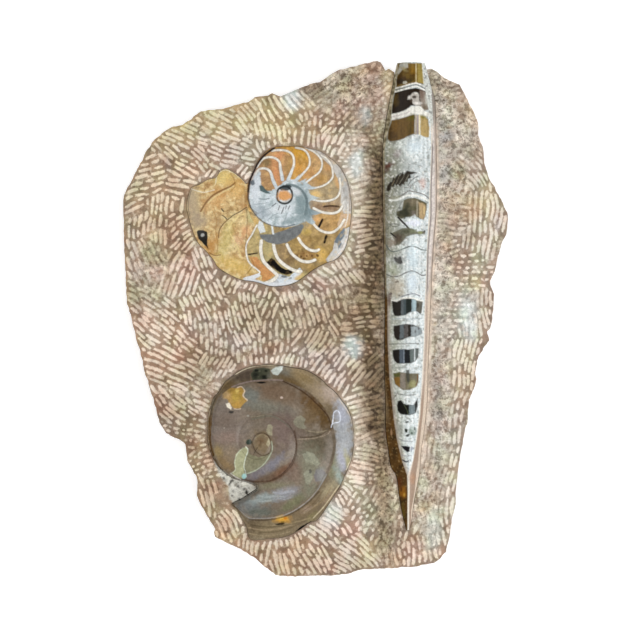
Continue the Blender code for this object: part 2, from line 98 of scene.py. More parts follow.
SLAB_OUTLINE = [
    (-116.7, 68), (-116.4, 74), (-114.5, 78), (-111.5, 83.5), (-108.5, 89),
    (-105.5, 95), (-103, 100), (-99.5, 106.5), (-95.5, 110), (-92, 112.5),
    (-87.5, 115.5), (-81.5, 117), (-75.5, 121), (-69.5, 125), (-65.5, 126),
    (-57.5, 126.5), (-48.5, 129), (-39.5, 131.5), (-37, 133.5), (-29, 134.5),
    (-26.5, 136), (-21.5, 134.5), (-15.5, 137), (-9.5, 139.5), (-2.5, 142),
    (2.5, 143), (8.5, 147), (14.5, 150.5), (21.5, 152), (32.5, 155),
    (37.2, 156.1),
    (39, 155), (42, 149.5), (44, 151), (47, 148.5), (49, 150.5), (56, 151.5),
    (62.5, 150.5), (65, 150), (69.5, 151), (74.5, 148), (77.5, 145.5),
    (84, 142), (86.5, 141),
    (89.5, 136.5), (92.5, 131), (97, 121.5), (98.5, 118.5), (98.7, 110.5),
    (101.5, 104.5), (102.3, 95), (104.5, 89), (105.6, 85), (109, 79.5),
    (114, 70), (116.7, 63), (116.7, 60), (115.8, 51), (113.5, 46.5),
    (111, 38), (108.5, 27), (106.2, 23), (106.2, 20.5), (108.6, 14.5),
    (108, 2), (106.2, -6), (104.4, -8), (105.6, -13.5), (103, -17),
    (99, -23), (96.5, -33.5), (97.8, -37), (96.5, -42), (93, -49.5),
    (91.8, -64), (89, -75), (87.6, -81), (85.8, -94), (84.6, -106),
    (84.6, -112), (82.2, -122), (81, -131), (78.6, -141), (75, -145),
    (71.5, -148),
    (59.5, -150), (44.5, -151), (26.5, -152), (20, -154), (8.5, -155.3),
    (-9.5, -156.1), (-15.5, -155.8), (-24.5, -155), (-30.5, -150.5),
    (-36, -145.5), (-45.5, -139.5), (-54.5, -135.5), (-61, -132),
    (-61.8, -129.5), (-61, -127.5), (-64, -122), (-69.5, -113),
    (-72, -107), (-71.7, -98), (-73, -95), (-78, -86), (-79.2, -76.5),
    (-83, -73.5), (-90.5, -69.5), (-95, -63), (-97, -54), (-101, -41),
    (-104, -31), (-106, -22.5), (-109, -12), (-112, 0), (-114.5, 11),
    (-115.5, 35), (-116.4, 53),
]

UPPER_OUTLINE = [
    (-41.5, 80.5), (-39, 85), (-37, 89), (-35, 94), (-32, 98), (-29, 100.5),
    (-26, 102), (-21, 103), (-15.5, 103), (-9.5, 103), (-3.5, 101.5),
    (2.5, 100), (8.5, 96), (13, 92), (16, 88), (18.5, 83), (20, 77),
    (21, 69), (21, 62), (20.5, 56.5), (19, 47.5), (17, 41.5), (12.5, 36),
    (5.5, 33), (-2, 29), (-6, 26), (-10, 23), (-15, 20.5), (-21.5, 19.5),
    (-27.5, 19.5), (-36.5, 22),
    (-45.5, 23.5), (-54, 27.5), (-59, 31), (-61, 34.5), (-65.5, 40),
    (-70, 44.5), (-72.5, 49), (-75, 56), (-76.5, 62), (-77.5, 67.5),
    (-75.5, 76.5), (-73.5, 79), (-70, 80), (-65, 83), (-60.5, 84),
    (-59, 85.5), (-57.5, 88), (-54, 89.5), (-50.5, 88), (-47, 85.5),
    (-44, 83),
]
UPPER_CENTRE = (-19, 73.5)
CREASE = [(-41.6, 78.5), (-41.8, 74), (-41.6, 68), (-39.5, 64.5), (-36.5, 62.5)]
CREASE_DEPTH = 2.2 * MM
CREASE_WIDTH = 1.7 * MM
CHAMBER_LINE = [(110, -41.6), (66, -41.6), (58, -41), (44, -42), (32, -37), (25, -43), (10, -43)]
CHAMBER_DROP = 0.8 * MM
CHAMBER_LUMP = 0.6 * MM
CHAMBER_LUMP_LENGTH = 9 * MM
EDGE_ROUNDING = 3 * MM

LOWER_OUTLINE = [
    (-65, -67), (-64.5, -58), (-63, -53), (-61.5, -48), (-58, -44),
    (-55, -39), (-50.5, -35), (-45.5, -31.5), (-40.5, -29.5), (-35, -28.5),
    (-26.5, -28), (-15.5, -29.5), (-7, -31), (-1.5, -33.5), (3.5, -37),
    (7, -40.5), (11.5, -44.5), (15.5, -49.5), (19, -54.5), (21, -60),
    (22, -65), (22.7, -73), (21.5, -82.5), (19.5, -89), (17, -94.5),
    (14, -101), (10, -107.5), (5.5, -114.5), (0.5, -121),
    (-4, -122.5), (-12, -128), (-19, -131), (-27.5, -132), (-39, -132.5),
    (-41.5, -125.5), (-45, -119), (-47.5, -114.5), (-50.5, -111.5),
    (-45, -108.5), (-40.5, -105.5), (-35.5, -102), (-38, -99.5),
    (-43, -98), (-48.5, -96.5), (-52, -94.5), (-56.5, -91),
    (-60.5, -86), (-63.5, -79.5), (-64.8, -73.5),
]
LOWER_CENTRE = (-33, -74)
SEAM = [
    (-125, 38), (-112, 41), (-100, 44.5), (-90, 45.6), (-45, 43.8), (0, 45),
    (30, 43), (60, 40), (90, 37), (110, 37.3), (135, 36.5), (160, 31),
    (215, 28.7), (255, 25.8), (290, 22.6), (360, 20.9), (407, 19),
    (445, 16.4), (480, 14.8), (560, 12), (650, 8.6), (720, 5.7), (1100, 5.7),
]
WRAP_ANGLE = 240
WHORLS = 3

# y, left foot, ridge, right foot and height of the ridge, in millimetres
ORTHOCERAS = [
    (152.9, 48.6, 58.2, 65.4, 6.4),
    (140.0, 46.2, 58.5, 68.7, 7.2),
    (131.0, 44.4, 58.8, 71.1, 7.9),
    (119.0, 42.3, 59.1, 71.7, 8.7),
    (101.0, 40.2, 59.4, 72.0, 9.4),
    (71.0, 40.2, 59.1, 72.3, 9.6),
    (41.0, 40.8, 58.5, 70.2, 9.4),
    (11.0, 41.4, 57.9, 68.7, 9.0),
    (-25.0, 41.2, 57.3, 67.2, 8.5),
    (-49.0, 41.7, 56.7, 66.6, 8.0),
    (-67.0, 42.0, 56.4, 64.8, 7.4),
    (-79.0, 43.5, 56.1, 63.0, 6.8),
    (-89.2, 45.2, 55.8, 62.2, 6.2),
    (-95.0, 48.4, 55.4, 61.6, 5.6),
    (-109.0, 50.4, 55.2, 58.8, 3.9),
    (-120.0, 52.6, 55.2, 57.4, 2.4),
    (-127.0, 54.4, 55.2, 56.0, 1.2),
]
ROUNDNESS = 0.72


# Numbers and curves

def smooth(share):
    """0 to 1 with level ends."""
    share = np.clip(share, 0.0, 1.0)
    return share * share * (3 - 2 * share)


def between(rows, top, top_fade, bottom, bottom_fade):
    """1 between two rows, with soft ends."""
    return smooth((rows - top) / top_fade) * smooth((bottom - rows) / bottom_fade)


def metres(path):
    return np.array(path, float) * MM


def column(rows, index, at):
    """One column of a table, read between its entries by the first column."""
    rows = np.array(rows, float)
    rows = rows[np.argsort(rows[:, 0])]
    return np.interp(at, rows[:, 0], rows[:, index])


def spline(points, step, closed=False):
    """A smooth curve through the points, cut into even steps."""
    points = np.asarray(points, float)
    if closed:
        ring = np.vstack([points[-1:], points, points[:2]])
    else:
        ring = np.vstack([2 * points[0] - points[1], points, 2 * points[-1] - points[-2]])
    result = []
    for a, b, c, d in zip(ring, ring[1:], ring[2:], ring[3:]):
        count = max(1, round(math.dist(b, c) / step))
        for i in range(count):
            t = i / count
            bend = (c - a) * t + (2 * a - 5 * b + 4 * c - d) * t**2 + (3 * b - a - 3 * c + d) * t**3
            result.append(b + bend / 2)
    if not closed:
        result.append(points[-1])
    return np.array(result)


def segments(path, closed):
    ends = np.roll(path, -1, 0) if closed else path[1:]
    return zip(path[: len(ends)], ends)


def path_distance(points, path, closed=False):
    """Distance of each point from a path, and which side of it: left is positive."""
    best = np.full(len(points), np.inf)
    side = np.ones(len(points))
    for start, end in segments(path, closed):
        along = end - start
        offset = points - start
        share = np.clip(offset @ along / max(along @ along, 1e-18), 0, 1)
        away = offset - share[:, None] * along
        distance = np.hypot(away[:, 0], away[:, 1])
        turn = along[0] * offset[:, 1] - along[1] * offset[:, 0]
        side = np.where(distance < best, np.sign(turn), side)
        best = np.minimum(best, distance)
    return best, side


def distance_to(points, path, closed=False):
    return path_distance(points, path, closed)[0]


def tree_of(points):
    tree = KDTree(len(points))
    for number, point in enumerate(points):
        tree.insert((*point, 0), number)
    tree.balance()
    return tree


def nearness(points, loop):
    """Distance of each point from the nearest point of a finely cut loop."""
    tree = tree_of(loop)
    return np.array([tree.find((x, y, 0))[2] for x, y in points[:, :2]])


def inside(points, loop):
    within = np.zeros(len(points), bool)
    for a, b in segments(loop, True):
        if a[1] != b[1]:
            spans = (a[1] > points[:, 1]) != (b[1] > points[:, 1])
            crossing = a[0] + (points[:, 1] - a[1]) * (b[0] - a[0]) / (b[1] - a[1])
            within ^= spans & (points[:, 0] < crossing)
    return within


def grown(loop, amount):
    """A clockwise loop moved outwards by an even amount."""
    before = loop - np.roll(loop, 1, 0)
    after = np.roll(loop, -1, 0) - loop
    before /= np.linalg.norm(before, axis=1)[:, None]
    after /= np.linalg.norm(after, axis=1)[:, None]
    outward = np.stack([-before[:, 1] - after[:, 1], before[:, 0] + after[:, 0]], 1)
    outward /= np.linalg.norm(outward, axis=1)[:, None]
    reach = amount / np.maximum(-outward[:, 0] * before[:, 1] + outward[:, 1] * before[:, 0], 0.5)
    return loop + outward * reach[:, None]


def grain(points, size, layer=0.0):
    """Noise from -1 to 1 at each point, of the given wavelength. Each layer is a pattern."""
    return np.array([noise.noise((x / size, y / size, layer)) for x, y in points[:, :2]])


def clouds(points, size, layer=0.0, octaves=3):
    """Rougher noise, on a grid that is turned so that it doesn't show."""
    turn = np.array([(0.857, 0.515), (-0.515, 0.857)])
    points = points[:, :2] @ turn
    total = np.zeros(len(points))
    for i in range(octaves):
        total += grain(points, size / 2**i, layer + 7.3 * i) / 2**i
    return total


def net(loop, spacing, seed, shake=0.2):
    """A triangular net of points inside a loop, each moved a little at random."""
    draw = np.random.default_rng(seed)
    low = loop.min(0)
    high = loop.max(0)
    row_height = spacing * math.sqrt(3) / 2
    rows = np.arange(low[1], high[1], row_height)
    columns = np.arange(low[0], high[0] + spacing, spacing)
    x, y = np.meshgrid(columns, rows)
    x[1::2] += spacing / 2
    points = np.stack([x.ravel(), y.ravel()], 1)
    points += draw.uniform(-shake, shake, points.shape) * spacing
    return points[inside(points, loop)]


# Pixels of the photograph

def spot(pixels):
    """Places on the chiselled face, in metres, of pixels of the photograph."""
    return (np.array(pixels, float) - ORIGIN) * (PIXEL, -PIXEL) * MM


def pixels(points):
    """Where the camera sees each 3-D point, in pixels of the photograph."""
    centre = spot(IMAGE_CENTRE)
    nearer = CAMERA_REACH / (CAMERA_REACH + SLAB_THICKNESS - points[:, 2])
    seen = (points[:, :2] - centre) * nearer[:, None] / (PIXEL * MM)
    return seen * (1, -1) + IMAGE_CENTRE


def enlarged(view, points):
    """Pixels of the photograph, read from an enlargement: its scale, left and top."""
    scale, left, top = view
    return np.array(points, float) / scale + (left, top)


# Meshes

CREASE_ANGLE = 50  # between faces that meet in a sharp edge


def triangles(loops, points):
    """A triangle mesh inside the first loop and outside the others."""
    everything = [*loops, points]
    edges = []
    first = 0
    for loop in loops:
        count = len(loop)
        edges += [(first + i, first + (i + 1) % count) for i in range(count)]
        first += count
    flat = np.vstack(everything)
    found = delaunay_2d_cdt([Vector(p) for p in flat], edges, [], 0, 1e-7)
    corners = np.array([tuple(v) for v in found[0]])
    faces = np.array([face for face in found[2] if len(face) == 3])
    middles = corners[faces].mean(1)
    keep = inside(middles, loops[0])
    for hole in loops[1:]:
        keep &= ~inside(middles, hole)
    place = {source: index for index, group in enumerate(found[3]) for source in group}
    source = np.full(len(corners), -1)
    for index, group in enumerate(found[3]):
        if group:
            source[index] = group[0]
    return corners, faces[keep], source, [place[i] for i in range(first)]


def make_piece(name, points, faces, material, colours, values=None):
    mesh = bpy.data.meshes.new(name)
    mesh.from_pydata([tuple(p) for p in points], [], [tuple(f) for f in faces])
    mesh.validate()
    for key, value in colours.items():
        layer = mesh.attributes.new(key, "FLOAT_COLOR", "POINT")
        layer.data.foreach_set("color", np.hstack([value, np.ones((len(value), 1))]).ravel())
    for key, value in (values or {}).items():
        mesh.attributes.new(key, "FLOAT", "POINT").data.foreach_set("value", value)
    mesh.shade_smooth()
    mesh.set_sharp_from_angle(angle=math.radians(CREASE_ANGLE))
    mesh.materials.append(material)
    piece = bpy.data.objects.new(name, mesh)
    bpy.context.scene.collection.objects.link(piece)
    return piece


# Paint

def colour(red, green, blue):
    """A colour as seen on screen, in percent, as the light that it stands for."""
    seen = np.array([red, green, blue]) / 100
    return np.where(seen <= 0.04045, seen / 12.92, ((seen + 0.055) / 1.055) ** 2.4)


def lay(coat, mask, over):
    """The coat with a colour laid over it where the mask is 1."""
    return coat + (over - coat) * np.clip(mask, 0, 1)[:, None]


def disc(at, x, y, width, height, turn=0.0, fade=0.3, wobble=None):
    """A soft-edged ellipse: 1 inside, 0 outside. Widths are half-axes in pixels."""
    angle = math.radians(turn)
    dx = at[:, 0] - x
    dy = -(at[:, 1] - y)
    along = (dx * math.cos(angle) + dy * math.sin(angle)) / width
    across = (dy * math.cos(angle) - dx * math.sin(angle)) / height
    out = np.hypot(along, across)
    if wobble is not None:
        out = out + wobble
    return 1 - smooth((out - 1 + fade) / (2 * fade))


def line(at, path, width, fade=0.5):
    """A line of the given width in pixels: 1 on it, fading to 0 at its edges."""
    return 1 - smooth((distance_to(at, path) - width / 2 + fade / 2) / fade)


def patch(at, loop, fade=1.0, wobble=0.0):
    """A filled shape with a soft edge."""
    loop = np.array(loop, float)
    depth = distance_to(at, loop, True) * np.where(inside(at, loop), 1, -1)
    return smooth((depth + wobble) / fade + 0.5)


def plain(at, *tone):
    """One colour for every point."""
    return np.tile(colour(*tone), (len(at), 1))


def veil(coat, level, strength, *tone):
    """The coat with a colour laid over it where the level is over 0, in full from 1."""
    return lay(coat, smooth(level) * strength, colour(*tone))


def finished(coat):
    """The coat without any pure black or pure white."""
    return np.clip(coat, 0.002, 0.95)


def draw(coat, at, view, marks, wobble, fade=0.9):
    """Lays marks over the coat in turn, read from an enlargement of the photograph.

    Each has its colour and strength in percent. Then an area has its corners, a line its
    width in pixels and its path, a spot and a haze their middle, half-axes and turn."""
    for kind, red, green, blue, strength, *numbers in marks:
        if kind in ("spot", "haze"):
            x, y, width, height, turn = numbers
            reach = 1.8 * max(width, height)
            path = enlarged(view, [(x - reach, y - reach), (x + reach, y + reach)])
        else:
            places = numbers[1:] if kind == "line" else numbers
            path = enlarged(view, np.reshape(places, (-1, 2)))
        low, high = path.min(0) - 3, path.max(0) + 3
        near = np.flatnonzero(((at > low) & (at < high)).all(1))
        here = at[near]
        if kind == "area":
            mask = patch(here, path, fade, wobble[near])
        elif kind == "line":
            mask = line(here, spline(path, 1.2), numbers[0] + wobble[near], 0.7)
        else:
            (x, y), = enlarged(view, [(x, y)])
            rim = 0.75 if kind == "haze" else 0.3
            mask = disc(here, x, y, width / view[0], height / view[0], turn, rim, wobble[near])
        coat[near] = lay(coat[near], mask * (strength / 100), colour(red, green, blue))
    return coat


# Nodes

POLISH_WAVES = 0.02 * MM


def node(tree, kind, settings=None, **sockets):
    """A shader node. A socket gets a value, or a link where another node's socket is given."""
    made = tree.nodes.new(kind)
    for key, value in (settings or {}).items():
        setattr(made, key, value)
    for key, value in sockets.items():
        name = key.replace("_", " ")
        socket = made.inputs[int(key[1:])] if key[1:].isdigit() else made.inputs[name]
        if isinstance(value, bpy.types.NodeSocket):
            tree.links.new(value, socket)
        else:
            socket.default_value = value
    return made


def start_material(name, roughness):
    material = bpy.data.materials.new(name)
    material.use_nodes = True
    tree = material.node_tree
    shader = tree.nodes["Principled BSDF"]
    shader.inputs["Roughness"].default_value = roughness
    place = node(tree, "ShaderNodeTexCoord").outputs["Object"]
    return material, tree, shader, place


def attribute(tree, name, output="Color"):
    return node(tree, "ShaderNodeAttribute", {"attribute_name": name}).outputs[output]


def speckle(tree, place, size, detail=3.0, roughness=0.55):
    """Noise whose lumps are about the given size across."""
    return node(
        tree, "ShaderNodeTexNoise", Vector=place, Scale=1 / size, Detail=detail, Roughness=roughness
    ).outputs["Fac"]


def combine(tree, kind, first, second):
    return node(tree, "ShaderNodeMath", {"operation": kind}, _0=first, _1=second).outputs[0]


def remap(tree, value, low, high, to_low=0.0, to_high=1.0):
    made = node(
        tree, "ShaderNodeMapRange", {"interpolation_type": "SMOOTHSTEP"}, Value=value
    )
    limits = {"From Min": low, "From Max": high, "To Min": to_low, "To Max": to_high}
    for key, number in limits.items():
        made.inputs[key].default_value = number
    return made.outputs[0]


def mixed(tree, share, first, second, blend="MIX"):
    made = node(tree, "ShaderNodeMix", {"data_type": "RGBA", "blend_type": blend})
    for index, value in ((0, share), (6, first), (7, second)):
        if isinstance(value, bpy.types.NodeSocket):
            tree.links.new(value, made.inputs[index])
        elif index:
            made.inputs[index].default_value = (*value, 1.0)
        else:
            made.inputs[index].default_value = value
    return made.outputs[2]


def add_bump(tree, shader, height, distance):
    bump = node(tree, "ShaderNodeBump", Height=height, Distance=distance, Strength=1.0)
    tree.links.new(bump.outputs["Normal"], shader.inputs["Normal"])


def shaded(tree, base, value, low, high):
    """A colour made darker and lighter by a value that runs from about 0.3 to 0.7."""
    level = remap(tree, value, 0.3, 0.7, low, high)
    grey = node(tree, "ShaderNodeCombineColor", Red=level, Green=level, Blue=level).outputs[0]
    return mixed(tree, 1.0, base, grey, "MULTIPLY")


def chiselled_limestone():
    """Pale bruised strokes on darker stone; where the slab is rough, blotches and pits instead."""
    material, tree, shader, place = start_material("chiselled_limestone_looks", 0.93)
    fine = speckle(tree, place, 0.7 * MM, 4)
    ragged = speckle(tree, place, 2.0 * MM, 4, 0.65)
    coarse = speckle(tree, place, 4.5 * MM, 4)
    edge = combine(tree, "MULTIPLY", combine(tree, "SUBTRACT", ragged, 0.5), 1.5)
    drift = combine(tree, "SUBTRACT", speckle(tree, place, 8 * MM, 2), 0.5)
    edge = combine(tree, "ADD", edge, combine(tree, "MULTIPLY", drift, 1.5))
    strokes = remap(tree, combine(tree, "ADD", attribute(tree, "stroke", "Fac"), edge), -0.05, 0.85)
    blotches = remap(tree, speckle(tree, place, 2.5 * MM, 5, 0.7), 0.42, 0.56)
    rough = attribute(tree, "rough", "Fac")
    mask = node(
        tree, "ShaderNodeMix", {"data_type": "FLOAT"}, _0=rough, _2=strokes, _3=blotches
    ).outputs[0]
    ground = shaded(tree, attribute(tree, "ground"), coarse, 0.84, 1.18)
    ground = shaded(tree, ground, fine, 0.88, 1.12)
    chalk = shaded(tree, attribute(tree, "chalk"), ragged, 0.88, 1.08)
    chalk = shaded(tree, chalk, fine, 0.93, 1.06)
    stone = mixed(tree, mask, ground, chalk)
    pits = remap(tree, speckle(tree, place, 2.2 * MM, 4, 0.65), 0.57, 0.64)
    pits = combine(tree, "MULTIPLY", pits, combine(tree, "MULTIPLY", rough, 0.8))
    stone = mixed(tree, pits, stone, tuple(colour(36, 31, 25)))
    tree.links.new(stone, shader.inputs["Base Color"])
    add_bump(tree, shader, fine, 0.25 * MM)
    return material


def polished(name, roughness, sheen, cloud, low, high):
    material, tree, shader, place = start_material(name, roughness)
    shader.inputs["Specular IOR Level"].default_value = sheen
    fine = speckle(tree, place, cloud, 5, 0.6)
    base = shaded(tree, attribute(tree, "paint"), fine, low, high)
    tree.links.new(base, shader.inputs["Base Color"])
    add_bump(tree, shader, speckle(tree, place, 3 * cloud, 2), POLISH_WAVES)
    return material


# Heights that part.py gives the faces

def face_height(points, rim, fossils):
    near = np.min([nearness(points, loop) for loop in fossils.values()], 0)
    level = smooth(near / LEVEL_RING)
    swell = grain(points, SWELL_LENGTH) * SWELL
    edge = 1 - smooth(nearness(points, rim) / EDGE_WIDTH)
    chip = np.maximum(grain(points, CHIP_LENGTH, 1), 0.0)
    top, foot = metres(RIGHT_SLOPE_LINE)
    share = (top[1] - points[:, 1]) / (top[1] - foot[1])
    slope = smooth((points[:, 0] - top[0] - (foot[0] - top[0]) * share) / RIGHT_SLOPE_WIDTH)
    moat = 1 - smooth(distance_to(points, metres(MOAT)) / MOAT_WIDTH)
    fall = (EDGE_DROP + 2 * EDGE_CHIPS * chip) * edge + RIGHT_SLOPE * slope + MOAT_DEPTH * moat
    return SLAB_THICKNESS + swell * level - fall


def round_edge(points, loop, width):
    return 1 - np.exp(-nearness(points, loop) / width)


# The orthoceras

FINE = 0.36 * MM  # spacing of the points on the polished fossils
OUTLINE_STEP = 0.6 * MM
ORTHOCERAS_STEPS = 44  # across each flank


def orthoceras_sides(step):
    """Smooth left foot, ridge, right foot and crest height at even steps down its length."""
    rows = metres(ORTHOCERAS)
    heights = np.arange(rows[0, 0], rows[-1, 0], -step)
    heights = np.append(heights, rows[-1, 0])
    table = spline(rows[:, :4], 0.25 * step)
    low_first = table[np.argsort(table[:, 0])]
    left, ridge, right = (np.interp(heights, low_first[:, 0], low_first[:, i]) for i in (1, 2, 3))
    crest = column(rows, 4, heights)
    return heights, left, ridge, right, crest


def orthoceras_loop():
    heights, left, _, right, _ = orthoceras_sides(OUTLINE_STEP)
    down = np.stack([right, heights], 1)
    up = np.stack([left, heights], 1)[::-1]
    return np.vstack([down, up])


# By the row of the photograph: the left and the right edge of the fossil itself, and to its
# right the edges of a pink band and of a cream one in the host stone
SHELL_EDGES = [
    (60, 397.5, 421.5, 431, 431.5, 434), (85, 396, 424.5, 431, 431.5, 434),
    (100, 392.5, 427, 431, 432, 435), (120, 391, 430, 432, 433, 436),
    (133, 387.5, 431, 432.3, 434, 436), (150, 384.5, 431.3, 432.5, 434.5, 436),
    (190, 384.5, 429.6, 431, 435, 437), (215, 385.3, 428.6, 431, 435, 437),
    (250, 385.8, 426.9, 428, 432, 434), (290, 386.6, 425.5, 427, 429, 434),
    (300, 387.6, 424.8, 425.7, 427.8, 432), (340, 387.6, 423.9, 425, 427.4, 431.2),
    (380, 389.7, 421.8, 423.2, 425.2, 430.3), (400, 391.9, 420.4, 421.1, 423.9, 428.2),
    (415, 393.3, 419, 420.2, 422.8, 427), (440, 397, 415.9, 416.9, 420, 424.4),
    (460, 401.8, 412.8, 413.5, 418.2, 421.7), (475, 407, 407.6, 409.8, 416.1, 419),
    (490, 407.4, 407.9, 409.6, 414.8, 416.6), (510, 407.4, 407.8, 409.2, 411.2, 413),
    (600, 406.6, 407, 408.5, 409.5, 411),
]
